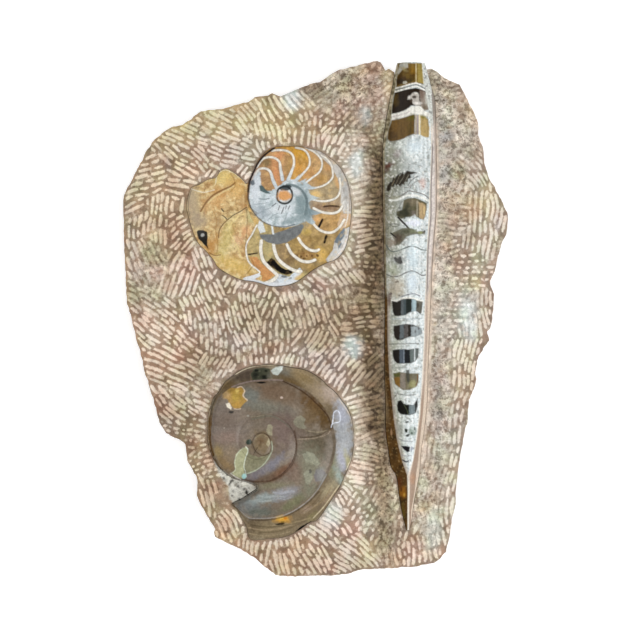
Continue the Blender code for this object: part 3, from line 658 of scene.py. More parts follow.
# Chamber fillings and marks, read from enlargements: the scale, left and top of each, and
# its marks. draw() says what the numbers of a mark stand for. The pale and the bluish grey
# streaks down the shell near its ridge are painted highlights, reflections of the lamps on the
# polished flanks.
ORTHOCERAS_MARKS = [
    ((13.0, 382, 60), [
        ("area", 47, 38, 20, 100, 205, 40, 530, 40, 545, 320, 440, 295, 370, 305, 185, 365, 195,
         200),
        ("area", 74, 73, 68, 90, 200, 160, 235, 40, 330, 40, 345, 95, 260, 135, 210, 195),
        ("area", 27, 19, 8, 95, 215, 190, 265, 130, 335, 105, 420, 120, 430, 200, 410, 262, 330,
         300, 240, 312, 195, 335, 188, 260),
        ("haze", 52, 39, 13, 90, 385, 130, 45, 60, 0),
        ("haze", 44, 34, 12, 80, 330, 200, 70, 34, -30),
        ("haze", 16, 13, 9, 80, 235, 280, 46, 34, 0),
        ("haze", 30, 24, 9, 70, 380, 260, 50, 30, 10),
        ("haze", 62, 55, 34, 70, 290, 120, 50, 20, -30),
        # the lighter right side of this chamber and its two pale vertical lines: painted highlight
        # on the flank that faces the light
        ("area", 64, 56, 30, 90, 462, 40, 525, 50, 545, 310, 465, 290),
        ("line", 84, 77, 60, 90, 1, 443, 40, 443, 290),
        ("line", 90, 88, 78, 80, 1.2, 525, 50, 545, 310),
        ("spot", 80, 78, 70, 80, 298, 292, 24, 20, 0),
        ("area", 15, 11, 7, 100, 165, 425, 300, 385, 440, 360, 500, 380, 575, 410, 600, 520, 615,
         640, 500, 645, 480, 595, 380, 595, 340, 635, 230, 680, 195, 690, 125, 700, 130, 620, 148,
         520),
        ("haze", 34, 27, 13, 80, 178, 520, 35, 75, 0),
        ("area", 62, 57, 52, 80, 490, 400, 570, 415, 600, 520, 610, 640, 560, 655, 510, 640),
        ("haze", 46, 38, 33, 80, 516, 440, 30, 60, 0),
        ("haze", 82, 81, 76, 80, 590, 520, 28, 90, 0),
        ("haze", 42, 36, 28, 70, 565, 620, 40, 40, 0),
        ("area", 78, 75, 71, 90, 332, 515, 350, 470, 400, 432, 455, 424, 480, 455, 482, 520, 508,
         588, 430, 588, 400, 562, 385, 530, 352, 506),
        ("spot", 22, 18, 13, 90, 425, 480, 32, 20, 15),
        ("spot", 24, 19, 14, 90, 376, 528, 20, 26, 0),
        ("haze", 95, 93, 90, 90, 460, 562, 44, 18, 5),
        ("haze", 94, 92, 88, 90, 352, 488, 18, 22, 0),
        ("haze", 92, 90, 86, 80, 440, 430, 34, 10, -10),
        ("area", 93, 92, 88, 100, 125, 705, 195, 690, 280, 668, 345, 625, 380, 600, 500, 600, 560,
         665, 620, 690, 620, 745, 560, 740, 440, 705, 300, 742, 130, 785),
        ("line", 72, 66, 66, 50, 1.2, 140, 735, 260, 710, 360, 670),
        ("area", 41, 31, 15, 100, 128, 785, 200, 772, 300, 742, 400, 712, 425, 712, 425, 962, 380,
         972, 320, 1002, 250, 1036, 180, 1052, 100, 1056, 70, 1020, 85, 900),
        ("haze", 36, 33, 10, 80, 385, 750, 60, 40, 20),
        ("haze", 27, 19, 7, 80, 120, 980, 60, 90, 0),
        ("haze", 34, 27, 9, 70, 370, 900, 40, 90, 0),
        ("haze", 46, 33, 11, 70, 180, 860, 34, 80, 0),
        # painted highlight: pale vertical streaks just right of the ridge, and the lighter right
        # side beyond them
        ("area", 70, 65, 58, 100, 427, 712, 495, 715, 495, 965, 427, 965),
        ("line", 60, 56, 60, 70, 1.2, 462, 720, 462, 960),
        ("line", 95, 90, 74, 95, 1.1, 490, 715, 490, 970),
        ("area", 71, 61, 41, 100, 500, 718, 560, 740, 600, 770, 615, 880, 610, 1002, 560, 1002,
         500, 972),
        ("haze", 50, 47, 22, 80, 540, 745, 45, 28, -20),
        ("line", 95, 93, 89, 100, 1, 175, 367, 260, 345, 340, 320, 440, 300, 500, 320, 565, 352),
        ("line", 22, 18, 14, 90, 0.8, 175, 388, 260, 368, 340, 345, 440, 322, 500, 342, 560, 372),
        ("line", 95, 93, 89, 100, 1, 170, 416, 260, 391, 340, 370, 440, 342, 500, 366, 565, 396),
        ("haze", 60, 54, 54, 60, 200, 1220, 45, 50, 0),
        # painted highlight: a bluish white gleam near the ridge
        ("haze", 84, 89, 91, 80, 430, 1120, 90, 70, 0),
        ("line", 50, 52, 52, 70, 0.8, 340, 1362, 400, 1350, 470, 1365, 520, 1385),
        ("haze", 36, 20, 15, 95, 75, 1380, 80, 30, 25),
        ("haze", 34, 26, 20, 80, 40, 1430, 50, 40, 0),
    ]),
    ((11.556, 382, 165), [
        ("area", 16, 13, 8, 100, 50, 290, 60, 240, 95, 195, 112, 196, 128, 142, 150, 152, 188,
         106, 204, 128, 240, 78, 252, 104, 290, 65, 390, 92, 326, 112, 336, 148, 300, 160, 300,
         196, 266, 200, 264, 236, 232, 222, 204, 246, 186, 222, 166, 236, 150, 220, 130, 258, 112,
         250, 98, 290, 70, 312),
        ("line", 20, 16, 10, 80, 0.8, 172, 250, 190, 190, 226, 120),
        ("line", 20, 16, 10, 80, 0.8, 214, 254, 248, 190, 286, 120),
        ("line", 18, 16, 12, 90, 0.9, 240, 190, 276, 130, 340, 84, 400, 92),
        ("line", 16, 14, 10, 90, 0.9, 80, 270, 110, 215, 160, 150, 215, 96),
        ("line", 50, 46, 36, 50, 0.6, 92, 262, 120, 232, 142, 180),
        ("line", 62, 60, 52, 55, 0.6, 200, 215, 240, 150, 262, 105),
        ("line", 58, 54, 44, 50, 0.6, 160, 215, 185, 165, 200, 125),
        ("line", 66, 65, 58, 55, 0.6, 245, 235, 285, 160, 310, 110),
        ("line", 52, 46, 34, 60, 0.6, 110, 235, 135, 195, 150, 150),
        ("line", 20, 18, 16, 80, 0.8, 300, 240, 330, 190, 390, 140, 420, 130),
        ("line", 38, 37, 35, 80, 0.7, 325, 265, 360, 215, 420, 180, 460, 190),
        ("line", 40, 38, 35, 70, 0.7, 230, 255, 300, 262, 330, 230),
        ("haze", 82, 66, 60, 60, 470, 210, 35, 60, 0),
        ("spot", 55, 40, 34, 70, 480, 250, 12, 14, 0),
        ("line", 42, 38, 36, 90, 0.9, 50, 350, 110, 385, 190, 368, 260, 330, 310, 300, 360, 308,
         430, 322, 500, 350, 540, 385),
        ("line", 94, 94, 91, 100, 2.2, 90, 405, 160, 405, 230, 378, 300, 352, 370, 350, 450, 372,
         535, 412),
        ("haze", 66, 66, 56, 60, 150, 380, 60, 20, 10),
        ("area", 37, 35, 26, 100, 250, 405, 300, 385, 380, 380, 440, 400, 520, 440, 515, 520, 500,
         590, 480, 630, 440, 622, 400, 600, 380, 565, 330, 600, 280, 602, 230, 620, 200, 612, 165,
         580, 170, 540, 230, 520, 240, 470),
        ("haze", 53, 48, 39, 80, 345, 430, 60, 34, 0),
        ("haze", 20, 21, 13, 70, 290, 480, 24, 60, -20),
        ("haze", 17, 18, 11, 90, 255, 555, 70, 50, 0),
        ("haze", 46, 42, 38, 80, 365, 560, 26, 34, 0),
        ("area", 71, 61, 46, 95, 425, 430, 475, 440, 510, 470, 500, 590, 470, 628, 430, 610),
        ("line", 68, 64, 56, 70, 1.8, 408, 420, 405, 590),
        ("spot", 88, 77, 56, 90, 486, 520, 11, 50, 0),
        ("line", 36, 36, 32, 70, 0.7, 165, 545, 205, 470, 235, 420),
        ("line", 42, 42, 38, 60, 0.7, 105, 600, 130, 520, 170, 450),
        # painted highlight: a bluish white gleam near the ridge
        ("spot", 93, 94, 98, 90, 370, 668, 72, 36, 0),
        ("line", 14, 12, 10, 100, 1.8, 185, 605, 235, 655, 280, 700, 310, 738),
        ("line", 34, 34, 31, 80, 0.8, 80, 692, 130, 680, 205, 690, 150, 714, 90, 704, 70, 740),
        ("area", 42, 41, 33, 95, 105, 790, 170, 760, 230, 730, 300, 722, 370, 742, 400, 770, 490,
         760, 500, 792, 440, 803, 380, 800, 330, 812, 280, 832, 250, 872, 200, 922, 150, 932, 130,
         900, 170, 850),
        ("haze", 33, 27, 21, 90, 190, 850, 60, 60, 30),
        ("haze", 27, 27, 18, 80, 280, 770, 60, 24, 10),
        ("haze", 52, 54, 42, 70, 360, 765, 40, 20, 0),
        ("spot", 60, 62, 44, 80, 440, 778, 26, 16, 0),
        ("spot", 25, 24, 20, 80, 492, 768, 12, 14, 0),
        ("line", 13, 11, 10, 100, 1.4, 102, 788, 160, 835),
        ("haze", 66, 60, 54, 70, 110, 900, 40, 50, 0),
        ("line", 36, 40, 39, 95, 1, 50, 925, 85, 980, 130, 1000, 200, 987, 260, 962, 330, 940,
         400, 950, 460, 980, 530, 985),
        ("area", 12, 14, 14, 100, 135, 1075, 150, 1060, 180, 1080, 215, 1055, 225, 1090, 235,
         1130, 215, 1145, 180, 1140, 150, 1110),
        ("haze", 45, 44, 42, 50, 190, 1095, 75, 65, 0),
        # painted highlight: a bluish white streak down the ridge
        ("haze", 84, 90, 92, 80, 350, 1080, 55, 130, 0),
        ("haze", 66, 68, 57, 70, 130, 1210, 65, 60, 0),
        ("spot", 42, 44, 34, 60, 120, 1240, 14, 12, 0),
        ("line", 38, 38, 38, 95, 1, 55, 1265, 120, 1290, 200, 1282, 270, 1246, 340, 1225, 400,
         1240, 460, 1275, 505, 1270),
        ("haze", 74, 69, 61, 80, 160, 1420, 100, 110, 0),
        ("spot", 45, 40, 35, 80, 175, 1350, 18, 11, 0),
        ("spot", 42, 38, 36, 80, 98, 1490, 20, 16, 0),
        ("spot", 42, 38, 34, 80, 200, 1510, 14, 10, 0),
        # painted highlight: a bluish white streak down the ridge
        ("haze", 85, 90, 93, 80, 350, 1360, 55, 100, 0),
        ("line", 44, 44, 48, 90, 0.9, 230, 1520, 320, 1492, 380, 1490, 440, 1515),
    ]),
    ((12.0, 382, 290), [
        ("haze", 42, 34, 31, 80, 88, 120, 24, 70, 0),
        ("area", 95, 94, 90, 100, 104, 115, 180, 125, 240, 95, 300, 84, 380, 90, 430, 112, 495,
         125, 490, 150, 120, 150),
        ("area", 12, 10, 7, 100, 118, 130, 180, 142, 240, 112, 300, 100, 380, 110, 430, 130, 488,
         142, 480, 230, 460, 292, 430, 262, 400, 250, 330, 272, 270, 302, 200, 312, 150, 312, 130,
         262, 120, 190),
        # painted highlights: the bluish grey strips either side of the ridge in the black chamber
        ("area", 38, 41, 42, 90, 228, 118, 262, 108, 262, 300, 228, 305),
        ("area", 28, 33, 34, 90, 262, 108, 290, 102, 290, 295, 262, 300),
        ("area", 8, 13, 11, 90, 292, 105, 348, 105, 340, 262, 292, 270),
        ("area", 62, 70, 72, 95, 358, 108, 412, 120, 408, 250, 350, 262),
        ("area", 42, 41, 37, 90, 418, 128, 484, 140, 470, 280, 440, 262, 415, 245),
        ("spot", 20, 18, 15, 70, 430, 180, 12, 40, 0),
        ("line", 66, 70, 72, 80, 0.8, 130, 350, 240, 340, 300, 352, 360, 345, 480, 340),
        ("line", 50, 50, 48, 60, 0.7, 140, 372, 250, 368, 340, 372),
        ("area", 14, 11, 8, 100, 142, 430, 200, 420, 270, 410, 340, 410, 400, 425, 470, 460, 480,
         520, 400, 560, 350, 558, 280, 580, 230, 602, 180, 602, 150, 572, 135, 480),
        # painted highlights: the grey and bluish grey strips either side of the ridge
        ("area", 40, 43, 44, 90, 218, 420, 264, 412, 264, 575, 212, 590),
        ("area", 39, 37, 36, 90, 268, 412, 312, 412, 312, 560, 268, 575),
        ("area", 64, 68, 69, 85, 345, 415, 470, 460, 478, 520, 400, 560, 350, 550),
        ("spot", 16, 14, 12, 90, 322, 515, 15, 24, 0),
        ("spot", 25, 24, 22, 80, 370, 430, 22, 12, 20),
        ("spot", 30, 28, 28, 70, 400, 500, 14, 22, 0),
        ("spot", 34, 32, 32, 70, 440, 465, 12, 14, 0),
        ("line", 36, 36, 34, 80, 0.9, 90, 650, 180, 648, 300, 645, 440, 640),
        ("area", 11, 9, 7, 100, 128, 722, 180, 712, 260, 710, 330, 716, 400, 700, 442, 700, 432,
         800, 405, 850, 350, 880, 250, 882, 180, 880, 150, 852, 130, 790),
        # painted highlights: the bluish grey strips and pale lines either side of the ridge
        ("area", 34, 38, 42, 90, 212, 714, 272, 712, 272, 880, 212, 880),
        ("line", 60, 64, 68, 70, 0.7, 262, 715, 262, 875),
        ("area", 4, 6, 8, 95, 278, 714, 330, 718, 330, 878, 278, 880),
        ("area", 42, 46, 45, 90, 336, 716, 440, 704, 430, 800, 400, 850, 350, 875, 336, 870),
        ("line", 84, 86, 86, 90, 1, 392, 708, 392, 850),
        ("line", 25, 22, 20, 80, 0.8, 422, 705, 418, 810),
        ("line", 45, 45, 43, 70, 0.7, 120, 935, 240, 930, 300, 935),
        ("area", 46, 43, 34, 100, 138, 1000, 200, 985, 300, 1000, 380, 1000, 440, 1000, 436, 1100,
         410, 1160, 330, 1200, 260, 1202, 210, 1170, 160, 1132, 140, 1070),
        ("area", 32, 32, 15, 90, 140, 1002, 215, 990, 215, 1045, 140, 1045),
        ("area", 50, 37, 16, 95, 142, 1045, 216, 1045, 216, 1165, 160, 1130),
        ("area", 56, 52, 47, 90, 220, 1000, 282, 1000, 282, 1195, 220, 1172),
        ("area", 26, 26, 23, 90, 290, 960, 326, 955, 335, 1100, 320, 1130, 292, 1080),
        ("haze", 63, 62, 43, 90, 372, 1130, 45, 40, 20),
        ("line", 42, 28, 15, 80, 1.2, 425, 1010, 430, 1080, 412, 1140),
        ("line", 36, 36, 34, 80, 0.8, 190, 1245, 300, 1262, 400, 1255),
        ("line", 45, 43, 40, 80, 0.9, 130, 1310, 170, 1260, 190, 1220),
        ("area", 7, 7, 5, 100, 188, 1332, 230, 1320, 262, 1362, 300, 1376, 380, 1380, 400, 1342,
         430, 1300, 426, 1400, 410, 1470, 370, 1492, 290, 1502, 220, 1490, 190, 1452, 180, 1380),
        # painted highlight: a bluish grey strip right of the ridge
        ("area", 44, 49, 50, 95, 325, 1382, 392, 1382, 400, 1470, 365, 1488, 325, 1490),
        ("line", 30, 33, 22, 70, 0.8, 262, 1375, 300, 1440, 310, 1490),
    ]),
    ((11.554, 378, 395), [
        ("spot", 28, 28, 26, 90, 340, 312, 17, 12, 10),
        ("spot", 55, 57, 55, 70, 385, 305, 12, 12, 0),
        ("haze", 60, 60, 56, 80, 255, 400, 32, 80, 10),
        ("haze", 56, 62, 57, 90, 400, 425, 36, 50, 0),
        ("spot", 15, 18, 14, 100, 328, 410, 24, 24, 0),
        ("spot", 18, 20, 17, 95, 345, 466, 26, 15, 20),
        ("spot", 22, 26, 22, 80, 425, 390, 9, 20, 0),
        ("spot", 25, 30, 26, 80, 392, 440, 10, 14, 0),
        ("line", 52, 52, 54, 80, 0.8, 240, 505, 300, 530, 400, 535),
        ("area", 11, 10, 11, 100, 268, 590, 320, 588, 366, 600, 366, 650, 340, 662, 308, 640),
        # painted highlight: a bluish gleam near the ridge
        ("spot", 58, 60, 66, 80, 388, 615, 17, 34, 0),
        ("line", 23, 24, 27, 95, 1.3, 285, 752, 325, 772, 352, 762),
        ("line", 55, 54, 56, 70, 0.8, 270, 690, 320, 705, 380, 700),
    ]),
]
# Laid over the margins of host stone, in the last enlargement
MARGIN_VIEW = (11.554, 378, 395)
MARGIN_MARKS = [
    ("haze", 60, 39, 13, 90, 290, 1130, 34, 60, 0),
    ("haze", 40, 21, 10, 70, 250, 1010, 30, 60, 0),
    ("haze", 76, 58, 24, 80, 304, 1150, 12, 22, 0),
    ("spot", 34, 19, 8, 70, 270, 1095, 10, 20, 0),
    ("spot", 38, 24, 10, 60, 320, 1180, 8, 14, 0),
    ("haze", 72, 57, 46, 80, 395, 960, 34, 60, 0),
    ("haze", 40, 33, 13, 80, 290, 1350, 20, 90, 0),
    ("spot", 66, 52, 38, 80, 155, 425, 12, 42, 0),
    ("line", 90, 87, 81, 80, 0.9, 345, 930, 350, 1100, 345, 1350, 350, 1500),
]


def make_fossil(name, points, faces, paint, loop, material):
    """A painted face with side walls down from its edge to a flat underside."""
    size = len(loop)
    first = len(points)
    foot = np.column_stack([points[loop][:, :2], np.full(size, SEAT)])
    faces = faces.tolist()
    for i in range(size):
        j = (i + 1) % size
        faces.append([loop[i], loop[j], first + j, first + i])
    faces.append(list(range(first, first + size)))
    paint = np.vstack([paint, paint[loop]])
    return make_piece(name, np.vstack([points, foot]), faces, material, {"paint": paint})


def make_ammonite(name, loop, seed, height, paint, material):
    inner = net(loop, FINE, seed)
    inner = inner[nearness(inner, loop) > 0.9 * FINE]
    flat, faces, _, rim = triangles([loop], inner)
    points = np.column_stack([flat, height(flat, loop)])
    return make_fossil(name, points, faces, paint(points), rim, material)


def calcite_paint(at, left, right, cloud, small, fleck):
    """White calcite with its chambers, greenish grey with painted shade on the left, and a painted
    bluish sheen on the right.
    """
    rows = at[:, 1]
    middle = (at[:, 0] - left) / np.maximum(right - left, 1)
    coat = plain(at, 86, 89, 88)
    # the left side greenish grey and darker, partly painted shade on the flank that faces away from
    # the light
    coat = lay(coat, smooth(1.2 - 2 * middle) * (0.85 + 0.5 * cloud), colour(70, 71, 64))
    # darker grey across these rows, more so on the left
    darker_rows = between(rows, 148, 14, 216, 16) * (0.7 - 0.35 * middle)
    coat = lay(coat, darker_rows, colour(52, 53, 49))
    shadow = between(rows, 140, 14, 262, 20) * smooth(1.15 - 2.6 * middle)
    coat = lay(coat, shadow * (0.65 + 0.4 * small), colour(57, 56, 47))
    # painted bluish sheen on the right flank
    coat = veil(coat, 2 * middle - 0.6, 0.5, 87, 90, 91)
    coat = veil(coat, 2.6 * small - 0.5, 0.5, 95, 95, 93)
    coat = veil(coat, -3 * small - 0.7, 0.6, 55, 56, 52)
    coat = veil(coat, -4 * fleck - 1.3, 0.35, 50, 50, 45)
    coat = veil(coat, 4 * fleck - 1.0, 0.5, 97, 96, 94)
    border = 1 - smooth((at[:, 0] - left) / 5)
    # painted shade along the left edge in these rows
    coat = lay(coat, border * between(rows, 182, 12, 264, 12) * 0.6, colour(40, 37, 30))
    coat = lay(coat, border * smooth((rows - 290) / 12) * 0.8, colour(67, 61, 55))
    for view, marks in ORTHOCERAS_MARKS:
        coat = draw(coat, at, view, marks, 0.45 * small + 0.25 * fleck, 1.4)
    stripes = grain(at * (1, 0.12), 2.2, 5)
    return coat * (1 + 0.3 * stripes + 0.12 * fleck)[:, None]


def left_margin_paint(at, left, cloud, small, fleck):
    """Host stone: pale and speckled above, dark brown below, where its darkness is partly painted
    shade on the flank that faces away from the light.
    """
    rows = at[:, 1]
    # dark brown, partly painted shade
    brown = plain(at, 34, 24, 12)
    brown = veil(brown, 2 * cloud, 0.8, 42, 30, 14)
    brown = veil(brown, -2 * cloud - 0.2, 0.8, 23, 17, 9)
    brown = veil(brown, 4 * fleck - 1, 0.5, 60, 50, 34)
    outer = smooth((left - at[:, 0] - 3) / 3) * smooth((430 - rows) / 20)
    brown = lay(brown, outer * 0.6, colour(54, 46, 34))
    pale = plain(at, 60, 56, 45)
    pale = veil(pale, 3 * small, 1, 74, 69, 58)
    pale = veil(pale, -3 * small - 0.3, 1, 42, 38, 28)
    pale = veil(pale, (rows - 150) / 20, 0.6, 44, 38, 28)
    return lay(pale, smooth((rows - 286) / 14), brown)


def right_margin_paint(at, band, band_end, cream, small, fleck):
    """Host stone: chalky above, and from there down a pink band with a cream one beside it."""
    across, rows = at.T
    chalky = plain(at, 82, 83, 80)
    chalky = veil(chalky, 3 * small - 0.3, 1, 62, 62, 60)
    chalky = veil(chalky, 4 * fleck - 0.8, 1, 93, 93, 91)
    pink = plain(at, 88, 84, 81) * (1 + 0.3 * small + 0.15 * fleck)[:, None]
    pink = veil(pink, (rows - 270) / 40, 0.8, 74, 65, 58)
    pink = veil(pink, (rows - 370) / 40, 0.8, 65, 55, 47)
    outer = plain(at, 77, 71, 66)
    outer = veil(outer, (rows - 275) / 25, 1, 90, 83, 75)
    outer = veil(outer, (130 - rows) / 20, 1, 60, 56, 52)
    coat = veil(chalky, (rows - 120) / 12, 1, 92, 88, 82)
    coat = lay(coat, smooth(across - band + 0.5) * smooth((rows - 122) / 12), pink)
    coat = lay(coat, smooth(across - band_end + 0.5), outer)
    coat = veil(coat, across - cream + 0.5, 0.7, 66, 59, 52)
    crack = (1 - smooth(np.abs(across - band) - 0.2)) * between(rows, 140, 6, 300, 12)
    return lay(coat, crack * 0.8, colour(46, 42, 42))


def orthoceras_paint(points):
    at = pixels(points)
    left, right, *bands = (column(SHELL_EDGES, i, at[:, 1]) for i in range(1, 6))
    cloud = clouds(at, 9, 11)
    small = clouds(at, 4, 13)
    fleck = clouds(at, 2.2, 21, 2)
    coat = calcite_paint(at, left, right, cloud, small, fleck)
    left_host = left_margin_paint(at, left, cloud, small, fleck)
    right_host = right_margin_paint(at, *bands, small, fleck)
    coat = lay(coat, smooth(left - at[:, 0] + 0.5), left_host)
    coat = lay(coat, smooth(at[:, 0] - right + 0.5), right_host)
    return finished(draw(coat, at, MARGIN_VIEW, MARGIN_MARKS, 0.4 * small))


def make_orthoceras():
    heights, left, ridge, right, crest = orthoceras_sides(FINE)
    share = np.arange(ORTHOCERAS_STEPS) / ORTHOCERAS_STEPS
    rounded = ROUNDNESS * (1 - (1 - share) ** 2) + (1 - ROUNDNESS) * share
    profile = np.append(rounded, [1.0, *rounded[::-1]])
    rows = []
    for y, a, b, c, top in zip(heights, left, ridge, right, crest):
        foot = SLAB_THICKNESS + min(FOOT, 0.5 * top)
        rise = foot + (SLAB_THICKNESS + top - foot) * profile
        across = np.concatenate([a + (b - a) * share, [b], (c + (b - c) * share)[::-1]])
        rows.append(np.stack([across, np.full(len(across), y), rise], 1))
    grid = np.array(rows)
    lines, width = grid.shape[:2]
    points = grid.reshape(-1, 3)
    numbers = np.arange(lines * width).reshape(lines, width)
    quads = np.stack([numbers[:-1, :-1], numbers[1:, :-1], numbers[1:, 1:], numbers[:-1, 1:]], -1)
    loop = [*numbers[0], *numbers[1:, -1], *numbers[-1, -2::-1], *numbers[-2:0:-1, 0]]
    material = polished("orthoceras_calcite_looks", 0.2, 0.15, 0.9 * MM, 0.88, 1.12)
    paint = orthoceras_paint(points)
    return make_fossil("orthoceras_shell", points, quads.reshape(-1, 4), paint, loop, material)


# The upper ammonite

TOP_VIEW = (15.68, 255, 140)
LOW_VIEW = (15.68, 255, 205)
LEFT_VIEW = (17.42, 180, 205)
WHOLE_VIEW = (8.711, 180, 140)

# Walls between the chambers, from the inner whorl out to the rim, in the order of growth
SEPTA = [
    (WHOLE_VIEW, [(845, 425), (810, 350), (785, 275), (740, 248), (690, 255), (655, 300)]),
    (TOP_VIEW, [(430, 620), (400, 450), (380, 340), (300, 280), (200, 270), (110, 310),
        (30, 420)]),
    (TOP_VIEW, [(520, 620), (570, 500), (610, 380), (600, 260), (540, 190), (440, 160), (330, 160),
        (270, 170)]),
    (TOP_VIEW, [(640, 640), (750, 530), (840, 420), (860, 330), (830, 220), (760, 150),
        (640, 120)]),
    (TOP_VIEW, [(780, 680), (900, 590), (1010, 500), (1050, 400), (1040, 310), (980, 230),
        (900, 170), (850, 150)]),
    (TOP_VIEW, [(850, 760), (1000, 740), (1120, 690), (1210, 600), (1220, 500), (1190, 380),
        (1120, 290), (1040, 240)]),
    (TOP_VIEW, [(900, 930), (1050, 960), (1200, 940), (1300, 880), (1340, 750), (1330, 600)]),
    (TOP_VIEW, [(920, 1070), (1050, 1130), (1200, 1150), (1310, 1120), (1370, 1040)]),
    (TOP_VIEW, [(870, 1190), (900, 1290), (1000, 1400), (1120, 1450), (1230, 1440), (1330, 1360),
        (1400, 1250)]),
    (LOW_VIEW, [(680, 520), (750, 620), (850, 700), (950, 720), (1000, 700)]),
    (LOW_VIEW, [(500, 620), (560, 740), (640, 820), (740, 880), (850, 890), (940, 860)]),
    (LOW_VIEW, [(290, 620), (310, 720), (360, 840), (450, 930), (560, 1000), (660, 1040),
        (720, 1040)]),
    (LOW_VIEW, [(100, 560), (90, 700), (120, 850), (200, 960), (330, 1080), (340, 1120),
        (280, 1180), (150, 1230)]),
    (LEFT_VIEW, [(1340, 350), (1250, 520), (1170, 650), (1150, 780), (1180, 950), (1250, 1050),
        (1350, 1130), (1390, 1180), (1300, 1230), (1130, 1270)]),
]
SEPTUM_WIDTHS = [2.0, 2.1, 2.0, 1.8, 1.7, 1.7, 1.9, 2.3, 2.3, 2.5, 2.7, 3.0, 3.0, 1.4]
# Chamber fillings in percent, one before each wall and one after the last
FILLINGS = [
    (69, 54, 37), (72, 54, 37), (76, 59, 41), (80, 61, 32), (77, 62, 43), (70, 58, 42),
    (70, 62, 48), (69, 60, 48), (73, 58, 37), (68, 57, 38), (64, 53, 32), (58, 50, 35),
    (66, 60, 42), (72, 64, 44), (82, 69, 44),
]
# Right edge of the gold body chamber: row and column of the photograph
BODY_EDGE = [
    (140, 247), (200, 247), (216, 250), (226, 256), (250, 246), (262, 249), (270, 256),
    (276, 262), (290, 262),
]
# The middle of the coil, how far from it the walls are widest, and the width of the change
WHORL_MIDDLE = (284, 195)
WHORL_REACH = 14
WHORL_FADE = 22
INNER_WHORL = [
    (690, 245), (650, 300), (612, 400), (600, 500), (615, 580), (660, 655), (720, 705),
    (800, 745), (900, 762), (1000, 750), (1080, 715), (1140, 690), (1150, 640), (1125, 560),
    (1135, 480), (1105, 400), (1050, 370), (1000, 345), (930, 345), (880, 380), (840, 420),
    (800, 440), (740, 440), (700, 380), (700, 300),
]
CRESCENT = [
    (690, 800), (700, 822), (800, 820), (903, 788), (987, 755), (1064, 732), (1080, 750),
    (1050, 815), (1010, 850), (930, 893), (848, 910), (765, 893), (700, 850),
]
